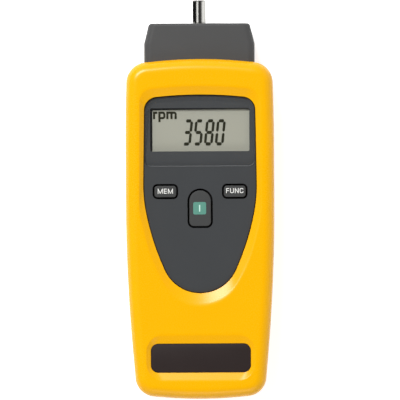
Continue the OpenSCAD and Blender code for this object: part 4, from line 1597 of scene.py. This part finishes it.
@dataclass(frozen=True)
class ContactHead:
    """Plug-on head: a hollow housing with a bearing tube, and the spindle that turns in it."""

    plan: Layout
    # Housing
    base_y: float = 133.3
    bend_y: float = 143.3
    top_y: float = 151.5
    top_w: float = 40.6
    top_edge_r: float = 1.0
    wall: float = 1.8
    cap: float = 2.0
    tube_r: float = 6.5
    tube_end: float = 140.6
    seat_r: float = 4.5
    seat_y: float = 149.2
    hole_r: float = 2.95
    lip: float = 0.2
    level: float = 0.3
    ease: float = 0.35
    corner_steps: int = 12
    edge_steps: int = 8
    rib_near: float = 6.0
    rib_spare: float = 0.5
    rib_half: float = 0.6
    # Spindle; the shoulder's points give depth below the tip's side and height above the housing
    tip_r: float = 2.65
    tip_end: float = 161.0
    tip_edge_r: float = 0.5
    tip_edge_steps: int = 5
    tip_support: float = 0.75
    tip_face: float = 0.7
    neck: float = 0.2
    shoulder: tuple[tuple[float, float], ...] = ((0.12, 0.22), (0.0, 0.35), (0.0, 0.6))
    shaft_r: float = 2.0
    tail_y: float = 138.7
    clip_low: float = 140.8
    clip_high: float = 141.4
    clip_depth: float = 0.4

    def section(self, y: float, inset: float, radius: float) -> Array:
        """Ring of the housing at one place: its width shrinks evenly above the bend.

        Args:
            y: place along the body.
            inset: how far the ring is set in.
            radius: radius of its corners.

        Returns:
            Points of across, thick and along.
        """
        p = self.plan
        share = max(0.0, (y - self.bend_y) / (self.top_y - self.bend_y))
        w = p.head_w + (self.top_w - p.head_w) * share - 2 * inset
        t = p.head_t - 2 * inset
        return at_height(Outline.rectangle(w, t, radius).ring(steps=self.corner_steps), y)

    def round_section(self, y: float, radius: float) -> Array:
        """Circle of the housing's inside whose points face those of the outer ring.

        Args:
            y: place along the body.
            radius: its radius.

        Returns:
            Points of across, thick and along.
        """
        outer = self.section(self.base_y, 0.0, self.plan.head_edge_r)
        angle = np.arctan2(outer[:, 1], outer[:, 0])
        return at_height(np.column_stack([np.cos(angle), np.sin(angle)]) * radius, y)

    def build_housing(self) -> None:
        """Build and dress the housing as one closed ring of sections.

        The sections run from the bearing seat through the spindle's hole, over the top and its rounded
        edge, down the sides to the rim, back up inside the wall and down round the bearing tube to the seat.
        """
        p, r = self.plan, self.plan.head_edge_r
        edge = round_edge(self.top_y - self.top_edge_r, self.top_edge_r, steps=self.edge_steps)[::-1]
        cap_y, lip, ease = self.top_y - self.cap, self.lip, self.ease
        bore = [(self.tube_end, self.seat_r), (self.seat_y, self.seat_r), (self.seat_y, self.hole_r),
                (self.top_y - lip, self.hole_r), (self.top_y, self.hole_r + lip)]
        sides = [self.top_y - self.top_edge_r - self.level, self.bend_y + ease, self.bend_y,
                 self.bend_y - ease, self.base_y + lip]
        outside = [(self.top_y, self.top_edge_r + self.level), *edge,
                   *((y, 0.0) for y in sides), (self.base_y, lip)]
        inside = [(y, self.wall) for y in (self.base_y, self.bend_y, cap_y)]
        rings = [self.round_section(y, radius) for y, radius in bore]
        rings += [self.section(y, inset, r - inset) for y, inset in outside + inside]
        rings += [self.round_section(y, self.tube_r) for y in (cap_y, self.tube_end)]
        middle = (self.tube_end + self.top_y) / 2
        tall = (self.top_y - self.tube_end - self.cap) / 2
        near, far, thin = self.rib_near, self.top_w / 2 - self.rib_spare, self.rib_half
        ribs = [(Carve.JOIN, block((left, middle - tall, p.axis_z - thin),
                                   (right, middle + tall, p.axis_z + thin)))
                for left, right in ((-far, -near), (near, far))]
        piece = p.make("head_shell", closed_loft(along_body(np.stack(rings), p.axis_z)), ribs)
        dress(piece, HEAD_GREY, Body.HEAD, ("head_housing",))

    def build_spindle(self) -> None:
        """Build and dress the spindle: a turned profile with a clip's groove, a neck and a rounded tip."""
        p, r, thick = self.plan, self.shaft_r, self.tip_r
        groove_r, neck_r = r - self.clip_depth, thick - self.neck
        profile = [(r - self.lip, self.tail_y), (r, self.tail_y + self.lip), (r, self.clip_low),
                   (groove_r, self.clip_low), (groove_r, self.clip_high), (r, self.clip_high),
                   (r, self.seat_y), (neck_r, self.seat_y), (neck_r, self.top_y + self.neck)]
        profile += [(thick - depth, self.top_y + rise) for depth, rise in self.shoulder]
        profile.append((thick, self.tip_end - self.tip_support))
        edge = round_edge(self.tip_end - self.tip_edge_r, self.tip_edge_r, steps=self.tip_edge_steps)
        profile += [(thick - inset, y) for y, inset in edge]
        profile.append((thick - self.tip_face, self.tip_end))
        piece = p.make("contact_shaft", loft(lathe(profile, p.axis_z)))
        dress(piece, CHROME, Body.SPINDLE, ("contact_spindle",))


@dataclass(frozen=True)
class InnerParts:
    """Solids whose own shape is shown, and the finish of each."""

    finishes: tuple[tuple[Finish, tuple[str, ...]], ...] = (
        (DISPLAY, ("display_glass",)),
        (RUBBER, ("zebra_strips",)),
        (BOARD, ("circuit_board", "sensor_board")),
        (CHIP, ("controller_chip",)),
        (SCREW_STEEL, ("quartz_crystal", "board_screws", "case_screws", "photodiode", "spindle_clip",
                       "bearing_retainer", "front_bearing_outer", "rear_bearing_outer",
                       "front_bearing_inner", "rear_bearing_inner")),
        (OPTICS_BLACK, ("sensor_block",)),
        (BRASS, ("laser_module", "bearing_spacer")),
        (LENS, ("receiver_lens",)),
        (RED_WINDOW, ("optical_window",)),
        (CELL_JACKET, ("battery_left", "battery_right")),
        (SPRING_STEEL, ("spring_contacts", "plate_contacts")),
        (SILICONE, ("mem_dome", "func_dome", "measure_dome")),
        (DISC_METAL, ("target_disc",)))

    def dress(self) -> None:
        """Put each finish on its solids."""
        for finish, names in self.finishes:
            for name in names:
                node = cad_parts[name]
                for place in node.material_slots:
                    place.material = finish.material()
                LOG.info("%s: dressed as %s", name, finish.name)


@dataclass(frozen=True)
class Studio:
    """Floor, world, lamps, dark cards and camera."""

    plan: Layout
    # Camera; one pixel of the picture shows this many millimetres
    lens: float = 1500.0
    pixel: float = 0.404
    pixels: int = 400
    centre: tuple[float, float] = (-0.04, -0.27)
    roll: float = math.radians(-0.29)
    # Floor, sky and cards
    floor_half: float = 6000.0
    floor_cells: int = 8
    floor_z: float = -0.05
    floor_white: float = 0.86
    floor_glow: float = 0.75
    horizon_light: float = 0.65
    horizon_seen: float = 1.0
    sky_heights: tuple[float, float] = (0.15, 0.95)
    overhead: float = 0.04
    card_black: float = 0.02

    @staticmethod
    def seen(wire: Wiring) -> bpy.types.NodeSocket:
        """Tell rays of the picture, of a mirror image and through glass from rays that shed light.

        Args:
            wire: node tree of the floor or the world.

        Returns:
            Socket that is one for the first three and zero for the rest.
        """
        path = wire.node("ShaderNodeLightPath")
        level = path.outputs["Is Camera Ray"]
        for name in ("Is Glossy Ray", "Is Transmission Ray"):
            most = wire.node("ShaderNodeMath", operation="MAXIMUM")
            wire.join(level, most.inputs[0])
            wire.join(path.outputs[name], most.inputs[1])
            level = most.outputs["Value"]
        return level

    def floor(self) -> None:
        """Lay a wide pale floor that reads as white in the picture and keeps the object's shadow.

        The floor is a flat square grid, a hair below the body's back.
        """
        cells = self.floor_cells
        side = np.linspace(-self.floor_half, self.floor_half, cells + 1)
        x, y = np.meshgrid(side, side)
        points = np.stack([x, y, np.full_like(x, self.floor_z)], -1).reshape(-1, 3) * MM
        corner = (np.arange(cells)[:, None] * (cells + 1) + np.arange(cells)).reshape(-1)
        beyond = corner + cells + 1
        faces = np.stack([corner, corner + 1, beyond + 1, beyond], -1).tolist()
        mesh = bpy.data.meshes.new("studio_floor")
        mesh.from_pydata(points.tolist(), [], faces)
        made = add_object("studio_floor", mesh)
        material = bpy.data.materials.new("studio_white")
        material.use_nodes = True
        wire = Wiring(material.node_tree)
        shader = material.node_tree.nodes["Principled BSDF"]
        wire.fill(shader, Base_Color=(*[self.floor_white] * 3, 1.0), Roughness=0.9, Specular_IOR_Level=0.0,
                  Emission_Color=WHITE)
        glow = wire.node("ShaderNodeMath", operation="MULTIPLY")
        wire.join(self.seen(wire), glow.inputs[0])
        glow.inputs[1].default_value = self.floor_glow
        wire.join(glow.outputs["Value"], shader.inputs["Emission Strength"])
        mesh.materials.append(material)

    def world(self) -> None:
        """Light the room with a sky that is pale at the horizon and darker overhead.

        The picture, metal and glass see a white horizon, and the light that it sheds is weaker.
        """
        world = bpy.data.worlds.new("studio_room")
        bpy.context.scene.world = world
        world.use_nodes = True
        wire = Wiring(world.node_tree)
        back = world.node_tree.nodes["Background"]
        way = wire.node("ShaderNodeTexCoord")
        split = wire.node("ShaderNodeSeparateXYZ")
        wire.join(way.outputs["Generated"], split.inputs["Vector"])
        horizon = wire.node("ShaderNodeMapRange", To_Min=self.horizon_light, To_Max=self.horizon_seen)
        wire.join(self.seen(wire), horizon.inputs["Value"])
        low, high = self.sky_heights
        level = wire.node("ShaderNodeMapRange", clamp=True, From_Min=low, From_Max=high,
                          To_Max=self.overhead)
        wire.join(split.outputs["Z"], level.inputs["Value"])
        wire.join(horizon.outputs["Result"], level.inputs["To Min"])
        wire.fill(back, Color=WHITE)
        wire.join(level.outputs["Result"], back.inputs["Strength"])

    def lamp(self, name: str, way: Point, distance: float, size: tuple[float, float],
             power: float) -> bpy.types.Object:
        """Hang a soft box that looks at the object.

        Args:
            name: name of the lamp.
            way: direction from the object to the lamp.
            distance: how far off it hangs, in metres.
            size: its width and height, in metres.
            power: its power in watts.

        Returns:
            The lamp.
        """
        data = bpy.data.lights.new(name, "AREA")
        data.shape = "RECTANGLE"
        data.size, data.size_y = size
        data.energy = power
        made = add_object(name, data)
        place = unit(np.array(way)) * distance
        made.location = place.tolist()
        tilt = math.atan2(math.hypot(place[0], place[1]), place[2])
        made.rotation_euler = (tilt, 0.0, math.atan2(place[1], place[0]) + math.pi / 2)
        return made

    def lamps(self) -> None:
        """Hang the key lamp above the upper left and a weak fill beyond the lower end."""
        self.lamp("key_lamp", way=(-0.31, 0.5, 0.809), distance=3.0, size=(1.4, 0.7), power=85.5)
        self.lamp("fill_lamp", way=(0.2, -0.84, 0.5), distance=2.0, size=(1.6, 0.8), power=8.2)

    def card(self, name: str, x: float, y: tuple[float, float], z: tuple[float, float]) -> None:
        """Stand a dark card at the left that only mirror images show.

        The card is an upright rectangle across the x axis.

        Args:
            name: name of the card.
            x: where it stands, in millimetres.
            y: its ends.
            z: its lower and upper edge.
        """
        corners = [(x, y[i], z[j]) for i, j in ((0, 0), (1, 0), (1, 1), (0, 1))]
        mesh = bpy.data.meshes.new(name)
        mesh.from_pydata((np.array(corners) * MM).tolist(), [], [[0, 1, 2, 3]])
        made = add_object(name, mesh)
        material = bpy.data.materials.get("studio_black") or bpy.data.materials.new("studio_black")
        material.use_nodes = True
        shader = material.node_tree.nodes["Principled BSDF"]
        Wiring.fill(shader, Base_Color=(*[self.card_black] * 3, 1.0), Specular_IOR_Level=0.0)
        mesh.materials.append(material)
        made.visible_camera = made.visible_diffuse = made.visible_shadow = made.visible_transmission = False

    def shaft_lamps(self) -> None:
        """Hang a strip lamp on each side that only the steel shaft takes, for its two bright bands."""
        alone = bpy.data.collections.new("shaft_alone")
        alone.objects.link(bpy.data.objects["contact_shaft"])
        strips = (self.lamp("left_strip", way=(-0.62, 0.0, 0.78), distance=2.0, size=(0.5, 1.6), power=5.2),
                  self.lamp("right_strip", way=(0.93, 0.0, 0.37), distance=2.0, size=(0.5, 1.7), power=3.2))
        for strip in strips:
            strip.light_linking.receiver_collection = alone

    def camera(self) -> None:
        """Look straight down on the front face through a long lens."""
        data = bpy.data.cameras.new("studio_camera")
        data.lens = self.lens
        made = add_object("studio_camera", data)
        far = self.lens * self.pixel * self.pixels / data.sensor_width + self.plan.axis_z
        made.location = (self.centre[0] * MM, self.centre[1] * MM, far * MM)
        made.rotation_euler = (0.0, 0.0, self.roll)
        bpy.context.scene.camera = made

    def build(self) -> None:
        """Set up the whole studio."""
        self.floor()
        self.world()
        self.lamps()
        self.card("shaft_card", x=-9.0, y=(71.6, 81.0), z=(2.0, 21.0))
        self.card("side_card", x=-1500.0, y=(-1500.0, 1500.0), z=(0.0, 2500.0))
        self.camera()
        bpy.context.scene.view_settings.view_transform = "Standard"


def main() -> None:
    """Build the studio and every sub-assembly in order, logging each piece as it is dressed."""
    logging.basicConfig(level=logging.INFO, format="%(message)s")
    plan = Layout.from_frame()
    studio = Studio(plan)
    studio.build()
    FrontCase(plan).build()
    rear = RearCase(plan)
    rear.build_shell()
    rear.build_cover()
    keypad = Keypad(plan)
    panel = FrontPanel(plan)
    panel.build_panel([key.outline for key in keypad.keys()])
    panel.build_window()
    panel.build_nameplate()
    reading = Reading(plan)
    reading.build_mask_shade()
    reading.build_digits()
    reading.build_unit()
    keypad.build()
    head = ContactHead(plan)
    head.build_housing()
    head.build_spindle()
    studio.shaft_lamps()
    InnerParts().dress()


if __name__ == "__main__":
    main()
